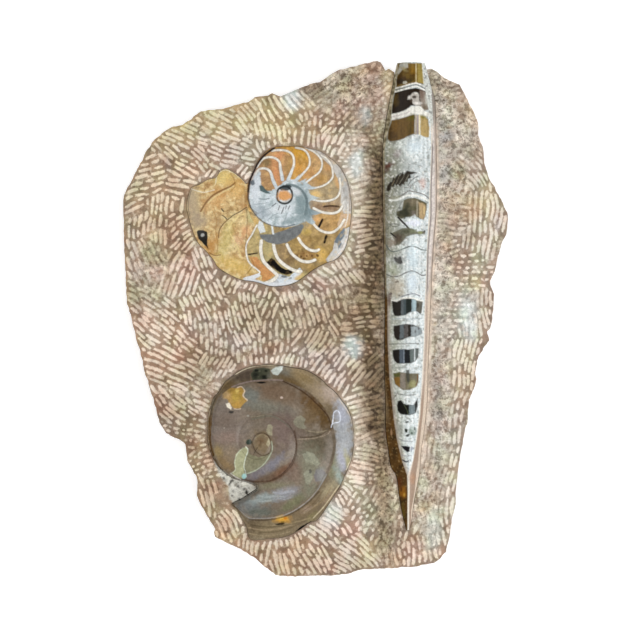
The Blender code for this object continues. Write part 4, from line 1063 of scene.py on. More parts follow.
# Marks on the section, on the gold body chamber, and over both, read from the enlargement
FIRST_MARKS = [
    ("haze", 52, 44, 30, 90, 765, 195, 60, 34, 20),
    ("haze", 84, 59, 40, 90, 835, 280, 34, 90, 10),
    ("haze", 86, 61, 42, 90, 850, 140, 60, 40, 30),
    ("haze", 66, 53, 33, 80, 950, 220, 34, 80, -10),
    ("haze", 84, 63, 25, 90, 1030, 110, 90, 40, -15),
    ("haze", 68, 52, 26, 70, 1050, 200, 30, 60, 10),
    ("haze", 86, 62, 30, 70, 1040, 270, 50, 90, 20),
    ("haze", 80, 62, 42, 70, 1150, 110, 60, 30, -30),
    ("haze", 78, 58, 36, 80, 1130, 300, 60, 60, 40),
    ("haze", 80, 61, 40, 70, 1285, 240, 40, 34, -40),
    ("haze", 74, 57, 32, 80, 1230, 350, 60, 40, 35),
    ("haze", 84, 64, 42, 70, 1372, 370, 22, 50, 20),
    ("haze", 90, 76, 50, 90, 1185, 470, 42, 26, 0),
    ("haze", 56, 43, 32, 70, 1290, 585, 120, 30, 0),
    ("line", 22, 15, 11, 90, 1.9, 1255, 580, 1320, 574, 1400, 582),
    ("haze", 90, 70, 46, 90, 1185, 690, 36, 26, 0),
    ("line", 14, 11, 9, 100, 2.4, 1240, 695, 1210, 755),
    ("line", 8, 7, 6, 100, 2.6, 1275, 838, 1258, 890),
    ("haze", 60, 49, 29, 80, 1170, 870, 90, 50, 0),
    ("haze", 80, 68, 36, 80, 1100, 800, 40, 26, 0),
    ("haze", 70, 56, 33, 70, 1090, 880, 40, 34, 0),
    ("haze", 82, 68, 38, 80, 1230, 960, 50, 24, -40),
    ("haze", 60, 43, 24, 70, 1110, 1000, 80, 30, 0),
    ("haze", 60, 50, 36, 80, 900, 990, 40, 90, -20),
    ("haze", 66, 54, 32, 80, 1120, 1110, 90, 34, -20),
    ("haze", 50, 40, 26, 70, 960, 1040, 40, 50, -30),
    ("haze", 86, 70, 38, 80, 1240, 1020, 50, 50, -30),
    ("haze", 74, 68, 48, 70, 770, 960, 34, 90, 0),
    ("area", 80, 56, 34, 90, 600, 1015, 670, 1020, 720, 1080, 830, 1175, 760, 1225, 700, 1225,
     700, 1150, 630, 1080),
    ("line", 20, 15, 12, 100, 1.4, 595, 998, 640, 990, 672, 985),
    ("area", 7, 6, 5, 100, 748, 1072, 796, 1026, 830, 1048, 858, 1086, 892, 1114, 924, 1130, 980,
     1131, 976, 1162, 927, 1174, 878, 1160, 840, 1134, 794, 1102),
    ("line", 10, 8, 6, 100, 1.5, 1271, 838, 1259, 893),
    ("area", 72, 69, 47, 90, 997, 1217, 1029, 1178, 1087, 1171, 1044, 1217),
    ("line", 14, 12, 8, 100, 1, 1026, 1228, 1056, 1212),
    ("area", 81, 79, 76, 100, 1000, 20, 1120, 30, 1240, 60, 1370, 150, 1440, 240, 1500, 360, 1530,
     560, 1530, 645, 1425, 640, 1405, 540, 1398, 430, 1372, 330, 1300, 215, 1200, 125, 1100, 75),
    ("haze", 70, 70, 69, 70, 1440, 470, 25, 110, 0),
    ("haze", 68, 69, 67, 70, 1400, 330, 20, 50, 20),
    ("haze", 90, 89, 86, 80, 1420, 560, 20, 60, 0),
    ("haze", 76, 64, 50, 60, 1300, 160, 50, 14, -40),
    ("area", 84, 72, 59, 90, 1400, 645, 1530, 640, 1520, 720, 1440, 760, 1400, 780, 1370, 740),
    ("line", 94, 93, 90, 90, 1, 1462, 560, 1462, 660, 1440, 750),
    ("area", 80, 80, 79, 95, 1440, 770, 1520, 740, 1500, 870, 1460, 950, 1400, 1030, 1300, 1095,
     1270, 1040, 1330, 960, 1345, 880),
    ("area", 42, 47, 51, 100, 1432, 762, 1400, 800, 1360, 850, 1345, 890, 1370, 900, 1380, 955,
     1410, 905, 1400, 880, 1432, 840, 1442, 800),
    ("haze", 86, 80, 68, 80, 1350, 1050, 40, 26, -40),
    ("line", 92, 89, 87, 90, 1.2, 1480, 800, 1400, 970, 1290, 1085, 1180, 1165),
    ("area", 84, 87, 89, 100, 745, 1245, 790, 1215, 850, 1165, 950, 1190, 1045, 1110, 1066, 1150,
     1040, 1190, 960, 1235, 880, 1265, 800, 1265),
    ("spot", 42, 43, 43, 90, 905, 1190, 30, 11, -10),
    ("spot", 50, 52, 52, 70, 960, 1205, 16, 8, 20),
    ("haze", 86, 74, 50, 90, 1030, 1200, 40, 18, 30),
]
BODY_MARKS = [
    ("haze", 70, 63, 52, 80, 112, 560, 60, 200, 8),
    ("haze", 66, 58, 49, 80, 170, 700, 70, 60, 0),
    ("haze", 62, 50, 34, 70, 440, 360, 60, 40, 30),
    ("haze", 72, 57, 38, 70, 540, 540, 34, 60, 0),
    ("haze", 70, 56, 37, 70, 220, 530, 40, 50, 40),
    ("haze", 68, 55, 38, 60, 330, 720, 40, 70, 0),
    ("haze", 72, 60, 36, 60, 560, 1100, 50, 34, 0),
    ("haze", 90, 79, 49, 80, 385, 330, 75, 70, 0),
    ("haze", 84, 64, 40, 60, 330, 500, 130, 70, 40),
    ("haze", 86, 68, 40, 60, 500, 420, 60, 90, 0),
    ("haze", 74, 54, 29, 80, 275, 920, 50, 90, -20),
    ("haze", 78, 72, 44, 60, 400, 880, 50, 160, -15),
    ("haze", 77, 75, 54, 80, 625, 660, 42, 60, 0),
    ("haze", 86, 72, 38, 60, 470, 1090, 150, 60, -20),
    ("haze", 88, 66, 48, 70, 578, 790, 42, 40, -20),
    ("haze", 86, 69, 54, 70, 510, 870, 46, 40, 20),
    ("line", 52, 37, 21, 90, 1.7, 478, 372, 440, 405, 370, 435, 290, 480, 230, 540, 180, 620),
    ("line", 90, 82, 60, 70, 1.2, 470, 400, 380, 452, 300, 498, 245, 550),
    ("line", 24, 19, 13, 90, 0.9, 580, 586, 520, 625, 470, 652, 420, 690),
    ("line", 42, 30, 17, 90, 1, 420, 690, 370, 740, 342, 790, 336, 850),
    ("line", 18, 14, 11, 90, 1.3, 362, 600, 380, 622),
    ("line", 22, 17, 12, 90, 1, 368, 655, 392, 672, 408, 692),
    ("line", 50, 34, 18, 90, 1, 255, 982, 300, 1005, 352, 1000),
    ("line", 66, 48, 26, 70, 0.9, 440, 290, 470, 340, 480, 400, 440, 450),
    ("line", 66, 49, 27, 70, 0.9, 290, 620, 320, 700, 310, 800, 330, 900, 320, 990),
    ("line", 70, 54, 32, 60, 0.9, 450, 700, 480, 800, 540, 900, 560, 960),
    ("line", 92, 84, 58, 60, 1.2, 420, 720, 440, 820, 500, 930, 540, 1040),
    ("line", 92, 84, 58, 60, 1.2, 560, 640, 480, 690, 430, 760),
    ("line", 95, 91, 78, 90, 0.9, 310, 375, 325, 300, 395, 262, 470, 290, 530, 330, 572, 378),
    ("line", 94, 92, 84, 70, 0.9, 95, 425, 200, 455, 300, 435),
    ("line", 42, 37, 31, 80, 0.9, 98, 440, 80, 500, 70, 580, 84, 660),
    ("area", 14, 13, 11, 100, 146, 800, 162, 786, 200, 783, 234, 800, 242, 850, 237, 905, 250,
     955, 222, 925, 192, 890, 160, 860),
    ("spot", 70, 70, 68, 90, 198, 828, 17, 13, 0),
]
LAST_MARKS = [
    ("area", 86, 88, 88, 95, 690, 700, 722, 720, 745, 800, 700, 812, 676, 760),
    ("line", 88, 90, 90, 95, 2, 800, 745, 812, 815),
    ("area", 74, 79, 81, 90, 1048, 358, 1078, 352, 1150, 405, 1190, 416, 1150, 432, 1100, 424),
    ("area", 74, 79, 80, 90, 1112, 470, 1168, 488, 1220, 506, 1160, 520, 1126, 534),
    ("area", 60, 67, 70, 90, 1112, 590, 1150, 606, 1236, 636, 1190, 650, 1130, 656),
    ("area", 70, 76, 78, 90, 1080, 660, 1128, 662, 1180, 716, 1150, 738, 1110, 716),
    ("area", 80, 83, 84, 90, 960, 345, 1000, 342, 1040, 300, 1030, 350),
    ("area", 76, 80, 81, 90, 1040, 366, 1062, 352, 1110, 330, 1080, 372),
    ("haze", 50, 57, 58, 90, 1060, 560, 60, 150, 5),
    # painted shade: a dark blue grey line round the right of the inner whorl
    ("line", 38, 44, 45, 85, 2.6, 930, 392, 1000, 400, 1060, 440, 1098, 500, 1106, 570, 1092, 650),
    ("haze", 46, 53, 54, 80, 1120, 640, 40, 60, 20),
    ("haze", 56, 62, 63, 80, 980, 700, 110, 28, 10),
    ("haze", 60, 64, 67, 70, 700, 620, 70, 50, -30),
    ("haze", 88, 89, 90, 80, 1010, 450, 40, 26, -30),
    ("haze", 86, 88, 89, 80, 880, 600, 90, 40, 10),
    ("haze", 86, 88, 90, 80, 655, 430, 40, 140, 0),
    ("line", 36, 38, 40, 90, 1, 600, 520, 615, 580, 650, 640, 700, 695, 760, 730, 830, 752, 920,
     755, 1000, 735),
    # painted shade: the black line in the crease at the upper left, where the body chamber meets
    # the inner whorl, and its grey end below
    ("line", 20, 16, 15, 100, 2, 820, 70, 740, 128, 680, 200, 635, 290, 605, 370, 594, 450),
    ("line", 34, 31, 30, 90, 1.2, 594, 450, 596, 520, 615, 590),
    ("line", 14, 14, 15, 90, 0.9, 800, 578, 836, 552),
    ("line", 14, 14, 15, 90, 0.8, 868, 574, 856, 610),
    ("line", 16, 16, 17, 90, 0.8, 906, 584, 884, 640),
    ("line", 20, 20, 22, 80, 0.7, 926, 572, 920, 600),
    ("line", 16, 16, 17, 90, 0.8, 958, 572, 942, 602),
    ("area", 28, 36, 36, 95, 688, 398, 715, 394, 745, 430, 792, 468, 748, 466, 700, 442),
    ("spot", 36, 40, 43, 90, 632, 372, 20, 24, 0),
    ("line", 45, 50, 52, 80, 1.1, 690, 512, 740, 516, 780, 508),
    ("line", 55, 60, 62, 70, 0.9, 640, 560, 700, 556, 770, 545),
    ("line", 55, 60, 62, 70, 0.9, 680, 640, 740, 610, 790, 590),
    ("line", 50, 56, 58, 70, 0.9, 760, 700, 810, 660, 850, 640),
    ("line", 50, 56, 58, 70, 0.9, 900, 730, 920, 680, 930, 640),
    ("area", 88, 89, 90, 100, 545, 1205, 690, 1160, 702, 1185, 650, 1212, 740, 1240, 900, 1245,
     1000, 1215, 1040, 1225, 900, 1275, 750, 1290, 600, 1262),
    ("line", 28, 26, 25, 90, 1, 500, 1215, 600, 1256, 750, 1281, 900, 1276, 1040, 1240),
    ("line", 90, 88, 84, 80, 0.9, 1250, 70, 1370, 170, 1460, 320, 1488, 470, 1496, 620, 1480, 790,
     1420, 960),
    ("line", 60, 52, 44, 70, 0.8, 1200, 85, 1330, 165, 1430, 300, 1472, 450, 1480, 620),
    ("line", 16, 16, 15, 95, 2, 846, 475, 855, 432, 890, 408, 935, 408, 970, 440, 977, 490, 960,
     532, 920, 554, 875, 545, 848, 515, 846, 475),
    ("area", 14, 17, 18, 90, 860, 420, 900, 392, 960, 392, 975, 410, 940, 440, 880, 440),
    ("spot", 86, 63, 40, 100, 906, 486, 58, 48, 0),
]


def gold_paint(at, small):
    """The body chamber: gold calcite with brown veins."""
    broad = clouds(at, 13, 2)
    gold = plain(at, 83, 71, 50)
    gold = veil(gold, 2 * broad, 1, 86, 77, 56)
    gold = veil(gold, -2 * broad, 0.8, 76, 60, 40)
    gold = veil(gold, 3 * small - 0.2, 0.7, 92, 84, 64)
    veins = 1 - smooth(np.abs(clouds(at, 11, 15)) / 0.09)
    gold = lay(gold, veins * 0.5, colour(60, 46, 28))
    gold = veil(gold, -3.4 * small - 0.6, 0.6, 58, 44, 27)
    return draw(gold, at, WHOLE_VIEW, BODY_MARKS, 0.4 * small)


def chambers_paint(at, gaps, small):
    """The chambers' fillings, marbled, with the brown stipple of one of them."""
    nearest = np.array([gap[0] for gap in gaps]).argmin(0)
    side = np.array([gap[1] for gap in gaps])[nearest, np.arange(len(at))]
    coat = np.array([colour(*tone) for tone in FILLINGS])[nearest + (side > 0)]
    coat *= (1 + 0.25 * clouds(at, 8, 2) + 0.25 * small + 0.14 * clouds(at, 2.2, 23, 2))[:, None]
    coat = draw(coat, at, WHOLE_VIEW, FIRST_MARKS, small * 0.35)
    marbling = clouds(at, 5, 25)
    lit = np.clip(6 * coat.mean(1) - 0.1, 0, 1)
    coat = lay(coat, smooth(3 * marbling - 0.5) * 0.3 * lit, colour(90, 76, 50))
    coat = veil(coat, -3 * marbling - 0.5, 0.3, 44, 34, 19)
    stipple = smooth(4 * clouds(at, 2.4, 17, 2) - 0.8) * disc(at, 308, 256, 15, 7, 10, 0.4)
    return lay(coat, stipple * 0.9, colour(36, 24, 13))


def pearl_paint(at, small):
    """The bluish inner whorl."""
    streaks = clouds(at, 6, 19)
    pearl = plain(at, 78, 82, 83)
    pearl = veil(pearl, 2.2 * streaks - 0.1, 0.8, 86, 89, 91)
    pearl = veil(pearl, -2.4 * streaks - 0.1, 0.7, 61, 67, 68)
    pearl = veil(pearl, 3 * small - 0.8, 0.6, 94, 95, 95)
    return veil(pearl, -3 * small - 0.7, 0.5, 50, 55, 56)


def upper_paint(points):
    at = pixels(points)
    small = clouds(at, 4, 4)
    gaps = [path_distance(at, spline(enlarged(view, path), 0.8)) for view, path in SEPTA]
    left_of = at[:, 0] < column(BODY_EDGE, 1, at[:, 1])
    coat = np.where(left_of[:, None], gold_paint(at, small), chambers_paint(at, gaps, small))
    whorl = patch(at, enlarged(WHOLE_VIEW, INNER_WHORL), 1.2, small)
    coat = lay(coat, whorl, pearl_paint(at, small))

    # the walls are wider and bluer near the middle of the coil
    from_middle = np.hypot(*(at - WHORL_MIDDLE).T)
    inward = 1 - smooth((from_middle - WHORL_REACH) / WHORL_FADE)
    wall_tone = lay(plain(at, 92, 90, 85), inward, colour(79, 82, 83)) * (1 + 0.25 * small)[:, None]
    for (away, _), width in zip(gaps, SEPTUM_WIDTHS):
        beyond = away - width * (1 + 0.6 * inward) / 2
        # painted shade: a thin dark brown rim beside each wall
        coat = lay(coat, (1 - smooth((beyond - 0.2) / 0.9)) * 0.35, colour(45, 36, 26))
        coat = lay(coat, 1 - smooth((beyond + 0.25) / 0.6), wall_tone)
    crescent = plain(at, 45, 46, 46) * (1 + 0.3 * small)[:, None]
    coat = lay(coat, patch(at, enlarged(WHOLE_VIEW, CRESCENT), 1.0), crescent)
    return finished(draw(coat, at, WHOLE_VIEW, LAST_MARKS, 0.25 * small))


def upper_height(points, loop):
    centre = metres(UPPER_CENTRE)
    reach = np.linalg.norm(loop - centre, axis=1).max()
    rim = round_edge(points, loop, EDGE_ROUNDING)
    dome = 1 - (np.linalg.norm(points - centre, axis=1) / reach) ** 2
    top = FOOT + (UPPER_DOME - FOOT) * rim * (0.7 + 0.3 * dome)
    beyond = points[:, 0] - column(metres(CHAMBER_LINE), 1, points[:, 1])
    body = 1 - smooth(beyond / (0.8 * MM) + 0.5)
    lump = grain(points, CHAMBER_LUMP_LENGTH)
    top -= (CHAMBER_DROP - CHAMBER_LUMP * lump) * rim * body
    groove = 1 - smooth(distance_to(points, metres(CREASE)) / CREASE_WIDTH)
    return SLAB_THICKNESS + np.maximum(top - CREASE_DEPTH * groove, 0.5 * FOOT)


def make_upper(loop):
    material = polished("cut_ammonite_looks", 0.2, 0.25, 0.8 * MM, 0.86, 1.14)
    return make_ammonite("upper_ammonite_section", loop, 3, upper_height, upper_paint, material)


# The lower ammonite

# The coil's edge rolls down to the skirt
DISC_ROLL = 0.7 * MM
DISC_ROLL_WIDTH = 2.2 * MM


def seam_radius(angle):
    return column(SEAM, 1, angle) * MM


def polar(points):
    offset = points - metres(LOWER_CENTRE)
    angle = np.degrees(np.arctan2(offset[:, 1], offset[:, 0]))
    return np.hypot(offset[:, 0], offset[:, 1]), (angle - WRAP_ANGLE) % 360 + WRAP_ANGLE - 360


def coil(points):
    """Distance from the centre, angle, disc edge, and the seams outside and inside a point."""
    radius, angle = polar(points)
    turns = np.array([seam_radius(angle + 360 * turn) for turn in range(WHORLS)])
    turns = np.vstack([turns, np.zeros(len(points))])
    whorl = np.minimum((radius < turns).sum(0), WHORLS)
    whorl = np.maximum(whorl, 1)
    every = np.arange(len(points))
    return radius, angle, turns[0], turns[whorl - 1, every], turns[whorl, every]


def lower_height(points, loop):
    radius, _, edge, outer, inner = coil(points)
    across = np.clip((radius - inner) / (outer - inner), 0, 1)
    swell = np.sin(math.pi * across) ** 0.7 * (outer - inner) / WHORL_WIDTH
    disc_top = LOWER_RIM + DISC_DOME * smooth(1 - radius / edge) + WHORL_SWELL * swell
    disc_top -= DISC_ROLL * (1 - smooth((edge - radius) / DISC_ROLL_WIDTH))
    disc_top *= round_edge(points, loop, MM)
    to_outline = nearness(points, loop)
    skirt = LOWER_RIM * to_outline / (to_outline + np.maximum(radius - edge, 1e-9)) - DISC_ROLL
    top = np.where(radius > edge, skirt, disc_top)
    return SLAB_THICKNESS + np.maximum(top, FOOT)


LOWER_VIEW = (8.475, 200, 360)
# Marks on the sloping skirt, then those on the coil, read from the enlargement
SKIRT_MARKS = [
    # the dark top and upper left and the dark amber left side: partly painted shade, on the slopes
    # that face away from the light
    ("haze", 36, 31, 26, 100, 380, 120, 150, 60, 10),
    ("haze", 45, 37, 24, 90, 230, 230, 60, 50, 40),
    ("haze", 36, 26, 12, 100, 85, 600, 28, 150, 0),
    ("haze", 48, 46, 41, 90, 720, 100, 70, 50, 0),
    ("haze", 43, 35, 23, 90, 790, 190, 110, 30, -25),
    ("haze", 60, 52, 38, 90, 880, 150, 120, 50, -35),
    ("haze", 50, 42, 26, 70, 960, 200, 90, 26, -35),
    ("haze", 64, 57, 47, 90, 1010, 280, 60, 110, 40),
    ("haze", 73, 66, 60, 90, 1110, 290, 90, 60, -45),
    # painted reflection: lavender grey over the right side of the skirt, which faces the light
    ("haze", 67, 68, 69, 100, 1205, 560, 66, 200, 2),
    ("haze", 70, 71, 76, 80, 1200, 460, 46, 90, 10),
    ("haze", 66, 67, 68, 100, 1222, 740, 60, 150, -6),
    ("haze", 62, 64, 64, 80, 1190, 860, 50, 80, -10),
    ("haze", 49, 48, 36, 90, 1118, 880, 40, 130, 8),
    ("haze", 61, 66, 62, 95, 1178, 990, 30, 80, 20),
    ("haze", 68, 68, 73, 90, 1200, 850, 26, 80, 12),
    ("haze", 70, 67, 50, 90, 1262, 880, 20, 100, 16),
    ("haze", 66, 61, 49, 90, 1090, 1100, 90, 40, 50),
    ("haze", 58, 50, 40, 70, 1090, 1170, 70, 30, 45),
    ("haze", 50, 43, 33, 90, 900, 1250, 130, 50, 35),
    ("haze", 64, 56, 48, 80, 900, 1265, 44, 22, 30),
    ("haze", 53, 47, 36, 90, 620, 1430, 230, 70, 10),
    ("haze", 44, 38, 29, 90, 440, 1430, 60, 60, 0),
    ("line", 66, 58, 46, 60, 1.3, 410, 1420, 520, 1440, 650, 1435, 780, 1400),
    ("line", 36, 31, 23, 60, 1.3, 430, 1395, 540, 1415, 660, 1410, 800, 1372),
    ("line", 64, 57, 44, 50, 1.1, 420, 1470, 540, 1490, 660, 1480, 760, 1455),
    ("haze", 56, 52, 36, 60, 950, 1330, 50, 26, 40),
    ("area", 27, 28, 22, 95, 432, 120, 462, 74, 540, 62, 592, 74, 596, 132, 562, 172, 500, 176,
     448, 180),
    ("haze", 11, 12, 10, 95, 470, 130, 26, 20, 10),
    ("haze", 9, 10, 8, 95, 545, 142, 30, 18, 0),
    ("spot", 10, 11, 9, 90, 478, 88, 18, 10, 0),
    ("spot", 12, 13, 10, 90, 560, 92, 12, 10, 0),
    ("spot", 38, 38, 31, 80, 505, 94, 10, 7, 0),
    ("spot", 36, 36, 29, 80, 455, 84, 9, 7, 0),
    ("spot", 34, 34, 28, 70, 498, 140, 8, 6, 0),
    ("haze", 42, 41, 36, 80, 590, 130, 24, 26, 0),
    ("area", 82, 85, 82, 90, 600, 90, 640, 60, 690, 50, 700, 80, 660, 130, 620, 120),
    ("line", 84, 86, 84, 90, 1.4, 680, 90, 715, 20, 720, -30),
    ("area", 5, 5, 4, 100, 808, 1452, 870, 1400, 942, 1368, 925, 1402, 862, 1440),
    ("line", 62, 55, 42, 60, 1.2, 620, 1400, 780, 1380, 930, 1340),
    ("line", 38, 32, 24, 50, 1.2, 500, 1460, 620, 1462, 760, 1425, 900, 1360),
    ("line", 63, 57, 47, 50, 1, 880, 1300, 980, 1230, 1060, 1130),
    ("line", 40, 33, 24, 50, 1.2, 860, 1290, 960, 1215, 1040, 1110),
    ("line", 58, 50, 37, 60, 1, 950, 1260, 1050, 1180, 1110, 1080),
    ("haze", 84, 62, 24, 100, 690, 1345, 66, 30, -8),
    ("haze", 92, 76, 36, 90, 680, 1335, 28, 14, 10),
    ("spot", 78, 46, 13, 80, 722, 1342, 13, 9, 0),
    ("spot", 50, 40, 18, 80, 700, 1372, 15, 7, 0),
    ("spot", 12, 11, 8, 90, 680, 1390, 40, 9, 10),
]
COIL_MARKS = [
    ("haze", 49, 44, 40, 90, 230, 560, 150, 180, 0),
    ("haze", 45, 39, 34, 80, 200, 500, 80, 60, 0),
    ("haze", 54, 46, 41, 80, 230, 660, 110, 50, 0),
    ("haze", 56, 49, 40, 80, 255, 790, 70, 60, 0),
    ("haze", 45, 37, 29, 90, 660, 280, 220, 90, -15),
    ("haze", 45, 37, 30, 50, 600, 260, 110, 45, -10),
    ("haze", 47, 46, 41, 90, 570, 400, 220, 50, -10),
    ("haze", 39, 29, 17, 100, 970, 400, 130, 60, -50),
    ("haze", 36, 27, 14, 90, 1060, 530, 50, 100, 10),
    ("haze", 44, 36, 25, 80, 930, 470, 70, 90, -30),
    ("haze", 47, 40, 37, 90, 700, 600, 110, 150, 0),
    ("area", 55, 54, 46, 70, 790, 520, 815, 480, 860, 468, 895, 500, 880, 545, 905, 580, 850, 585,
     810, 560),
    ("haze", 48, 42, 38, 70, 870, 640, 70, 40, 0),
    ("haze", 37, 33, 26, 95, 990, 730, 110, 120, 0),
    ("haze", 52, 51, 43, 90, 930, 900, 90, 150, 0),
    ("area", 59, 59, 51, 80, 868, 800, 905, 775, 960, 790, 1000, 840, 1020, 880, 985, 900, 940,
     870, 900, 868),
    ("area", 60, 60, 52, 80, 880, 965, 905, 935, 950, 950, 955, 1000, 935, 1045, 905, 1060, 885,
     1010),
    ("spot", 36, 35, 32, 80, 935, 942, 13, 18, 0),
    ("area", 42, 40, 42, 75, 985, 925, 1040, 925, 1065, 960, 1030, 1020, 980, 1030, 965, 975),
    ("haze", 50, 42, 36, 80, 800, 950, 60, 90, 10),
    ("haze", 45, 33, 25, 90, 690, 950, 130, 38, 35),
    ("haze", 40, 33, 27, 90, 500, 1010, 120, 30, 10),
    # painted sheen: lavender grey on the lower slope of the inner whorl, a reflection of the lamps
    ("haze", 51, 50, 53, 90, 620, 880, 110, 38, 38),
    ("haze", 48, 46, 48, 80, 470, 970, 90, 34, 20),
    ("area", 53, 52, 41, 90, 400, 770, 430, 800, 500, 825, 585, 790, 608, 740, 600, 820, 545, 890,
     475, 935, 395, 965, 372, 920, 388, 830),
    ("haze", 50, 43, 32, 100, 525, 700, 82, 82, 0),
    ("line", 33, 27, 21, 90, 0.9, 600, 720, 585, 650, 530, 618, 470, 640, 445, 700, 470, 770, 530,
     810, 590, 790),
    ("line", 62, 57, 45, 60, 0.8, 470, 660, 520, 632, 575, 652),
    ("haze", 42, 33, 24, 80, 515, 690, 34, 26, 20),
    ("area", 62, 59, 49, 90, 560, 605, 578, 548, 602, 540, 616, 570, 610, 640, 582, 632),
    ("area", 68, 64, 52, 90, 560, 715, 582, 660, 600, 700, 580, 735),
    ("spot", 20, 24, 20, 100, 413, 697, 26, 22, 0),
    ("haze", 55, 46, 33, 90, 210, 880, 90, 50, -35),
    ("haze", 60, 52, 36, 90, 148, 775, 38, 48, 0),
    ("area", 67, 67, 53, 100, 388, 735, 406, 762, 386, 830, 372, 900, 384, 985, 372, 1010, 330,
     1000, 268, 965, 300, 930, 292, 870, 305, 800, 345, 760),
    ("line", 84, 87, 79, 90, 0.9, 388, 735, 407, 765, 386, 830, 372, 900, 386, 950, 392, 990),
    ("line", 78, 80, 70, 70, 0.8, 365, 745, 312, 800, 294, 870, 300, 930, 262, 962),
    ("line", 86, 84, 80, 90, 0.9, 260, 962, 300, 990, 345, 1012),
    ("spot", 66, 83, 82, 95, 374, 985, 18, 20, 0),
    ("line", 70, 73, 64, 90, 0.9, 607, 690, 613, 760, 590, 812, 542, 882, 470, 936, 392, 966),
    ("line", 60, 58, 48, 60, 0.8, 430, 480, 490, 475, 560, 462),
    ("line", 42, 42, 36, 70, 1.2, 440, 500, 500, 490, 600, 475, 700, 520, 770, 580),
    # painted highlight: pale bluish streaks, with darker ones between, on the lower slope of the
    # outer whorl, a reflection of the lamps
    ("haze", 46, 47, 46, 95, 430, 1250, 120, 60, -15),
    ("haze", 40, 41, 37, 90, 520, 1290, 110, 30, 0),
    ("haze", 58, 62, 61, 90, 550, 1170, 120, 40, 10),
    ("haze", 60, 60, 62, 90, 720, 1130, 100, 50, 15),
    ("line", 70, 73, 72, 30, 1.4, 500, 1150, 560, 1162, 640, 1150, 720, 1160),
    ("line", 72, 74, 78, 30, 1.4, 620, 1120, 690, 1130, 770, 1110, 800, 1118),
    ("line", 68, 71, 71, 30, 1.4, 470, 1190, 520, 1200, 600, 1192),
    ("line", 47, 49, 48, 40, 1.2, 480, 1172, 560, 1180, 650, 1168, 740, 1178),
    ("line", 50, 51, 50, 40, 1.2, 600, 1140, 680, 1148, 760, 1136, 820, 1142),
    ("line", 68, 70, 73, 30, 1.4, 660, 1170, 720, 1180, 790, 1160),
    ("haze", 47, 47, 35, 80, 790, 1210, 110, 40, 35),
    ("haze", 50, 48, 38, 80, 620, 1065, 150, 26, 5),
    ("haze", 50, 50, 42, 70, 930, 1120, 60, 60, 40),
    ("haze", 58, 58, 56, 60, 1040, 1010, 40, 90, 20),
    ("line", 26, 27, 26, 90, 1.4, 480, 1108, 400, 1150, 320, 1192),
    ("haze", 45, 46, 43, 90, 430, 300, 70, 66, 0),
    ("area", 70, 55, 28, 90, 188, 275, 250, 232, 300, 242, 350, 222, 382, 262, 366, 302, 402, 342,
     362, 382, 340, 412, 290, 412, 250, 370, 232, 330, 200, 320),
    ("haze", 74, 62, 44, 95, 225, 285, 34, 36, 0),
    ("haze", 62, 50, 24, 80, 270, 262, 34, 24, 20),
    ("haze", 72, 60, 26, 90, 300, 320, 34, 50, 0),
    ("haze", 62, 50, 20, 80, 346, 300, 20, 50, 10),
    ("haze", 72, 56, 26, 80, 310, 375, 34, 24, 0),
    ("haze", 86, 76, 42, 80, 316, 262, 16, 18, 0),
    ("line", 88, 80, 70, 85, 1.1, 320, 232, 352, 226, 378, 262, 366, 302, 400, 340),
    ("line", 88, 80, 70, 70, 1, 345, 412, 320, 418, 290, 414),
    ("area", 92, 88, 80, 100, 215, 370, 250, 365, 270, 400, 262, 418, 230, 402),
    ("spot", 20, 19, 18, 90, 268, 440, 24, 14, 10),
    ("spot", 80, 72, 66, 90, 692, 320, 12, 9, 0),
    ("spot", 64, 62, 57, 90, 405, 472, 12, 9, 0),
    ("spot", 66, 62, 56, 70, 205, 578, 7, 7, 0),
    ("line", 30, 24, 17, 80, 0.9, 1095, 580, 1040, 625, 960, 650, 850, 655),
    ("line", 64, 57, 48, 70, 0.7, 830, 672, 960, 664, 1070, 635, 1105, 600),
    ("line", 62, 57, 46, 60, 0.9, 900, 600, 1000, 612, 1080, 595),
]
# Laid over both
RIM_MARKS = [
    ("line", 26, 18, 11, 80, 1.3, 700, 178, 800, 226, 900, 290, 1000, 382, 1080, 470, 1118, 565),
    ("line", 60, 53, 50, 85, 1.3, 270, 228, 350, 200, 450, 178, 600, 168, 700, 172),
    ("spot", 5, 5, 5, 100, 520, 192, 38, 8, 0),
    ("line", 30, 21, 14, 60, 1.7, 800, 600, 812, 660, 819, 738, 807, 824, 764, 910, 678, 987, 592,
     1025, 455, 1030, 369, 1013),
    # painted shadow just outside the coil's lower edge
    ("line", 30, 25, 20, 70, 1.6, 420, 1352, 520, 1358, 640, 1345, 760, 1308, 900, 1222, 1010,
     1115),
    # a pale line along the coil's edge: partly the shell's pale rim, partly a painted highlight on
    # the rounded edge
    ("line", 62, 61, 60, 75, 1, 300, 1235, 400, 1330, 480, 1343, 620, 1336, 760, 1296, 900, 1205,
     1000, 1095, 1070, 970),
    ("line", 87, 89, 93, 100, 1, 1112, 572, 1118, 548, 1138, 534, 1182, 524, 1189, 483, 1178, 441,
     1157, 429, 1136, 445, 1129, 492, 1122, 540),
    ("line", 41, 30, 15, 90, 3.6, 86, 500, 80, 600, 86, 700, 108, 800),
    ("line", 24, 21, 16, 70, 1.6, 130, 330, 104, 400, 96, 460),
    ("line", 76, 68, 57, 70, 0.9, 84, 420, 68, 520, 66, 640, 84, 760),
    ("line", 90, 84, 72, 70, 0.9, 300, 120, 400, 70, 520, 45, 640, 40),
    ("line", 92, 86, 78, 70, 0.9, 1180, 330, 1270, 470, 1304, 620, 1300, 780, 1240, 930),
    ("line", 88, 82, 68, 70, 0.9, 1180, 1060, 1060, 1230, 960, 1340),
]


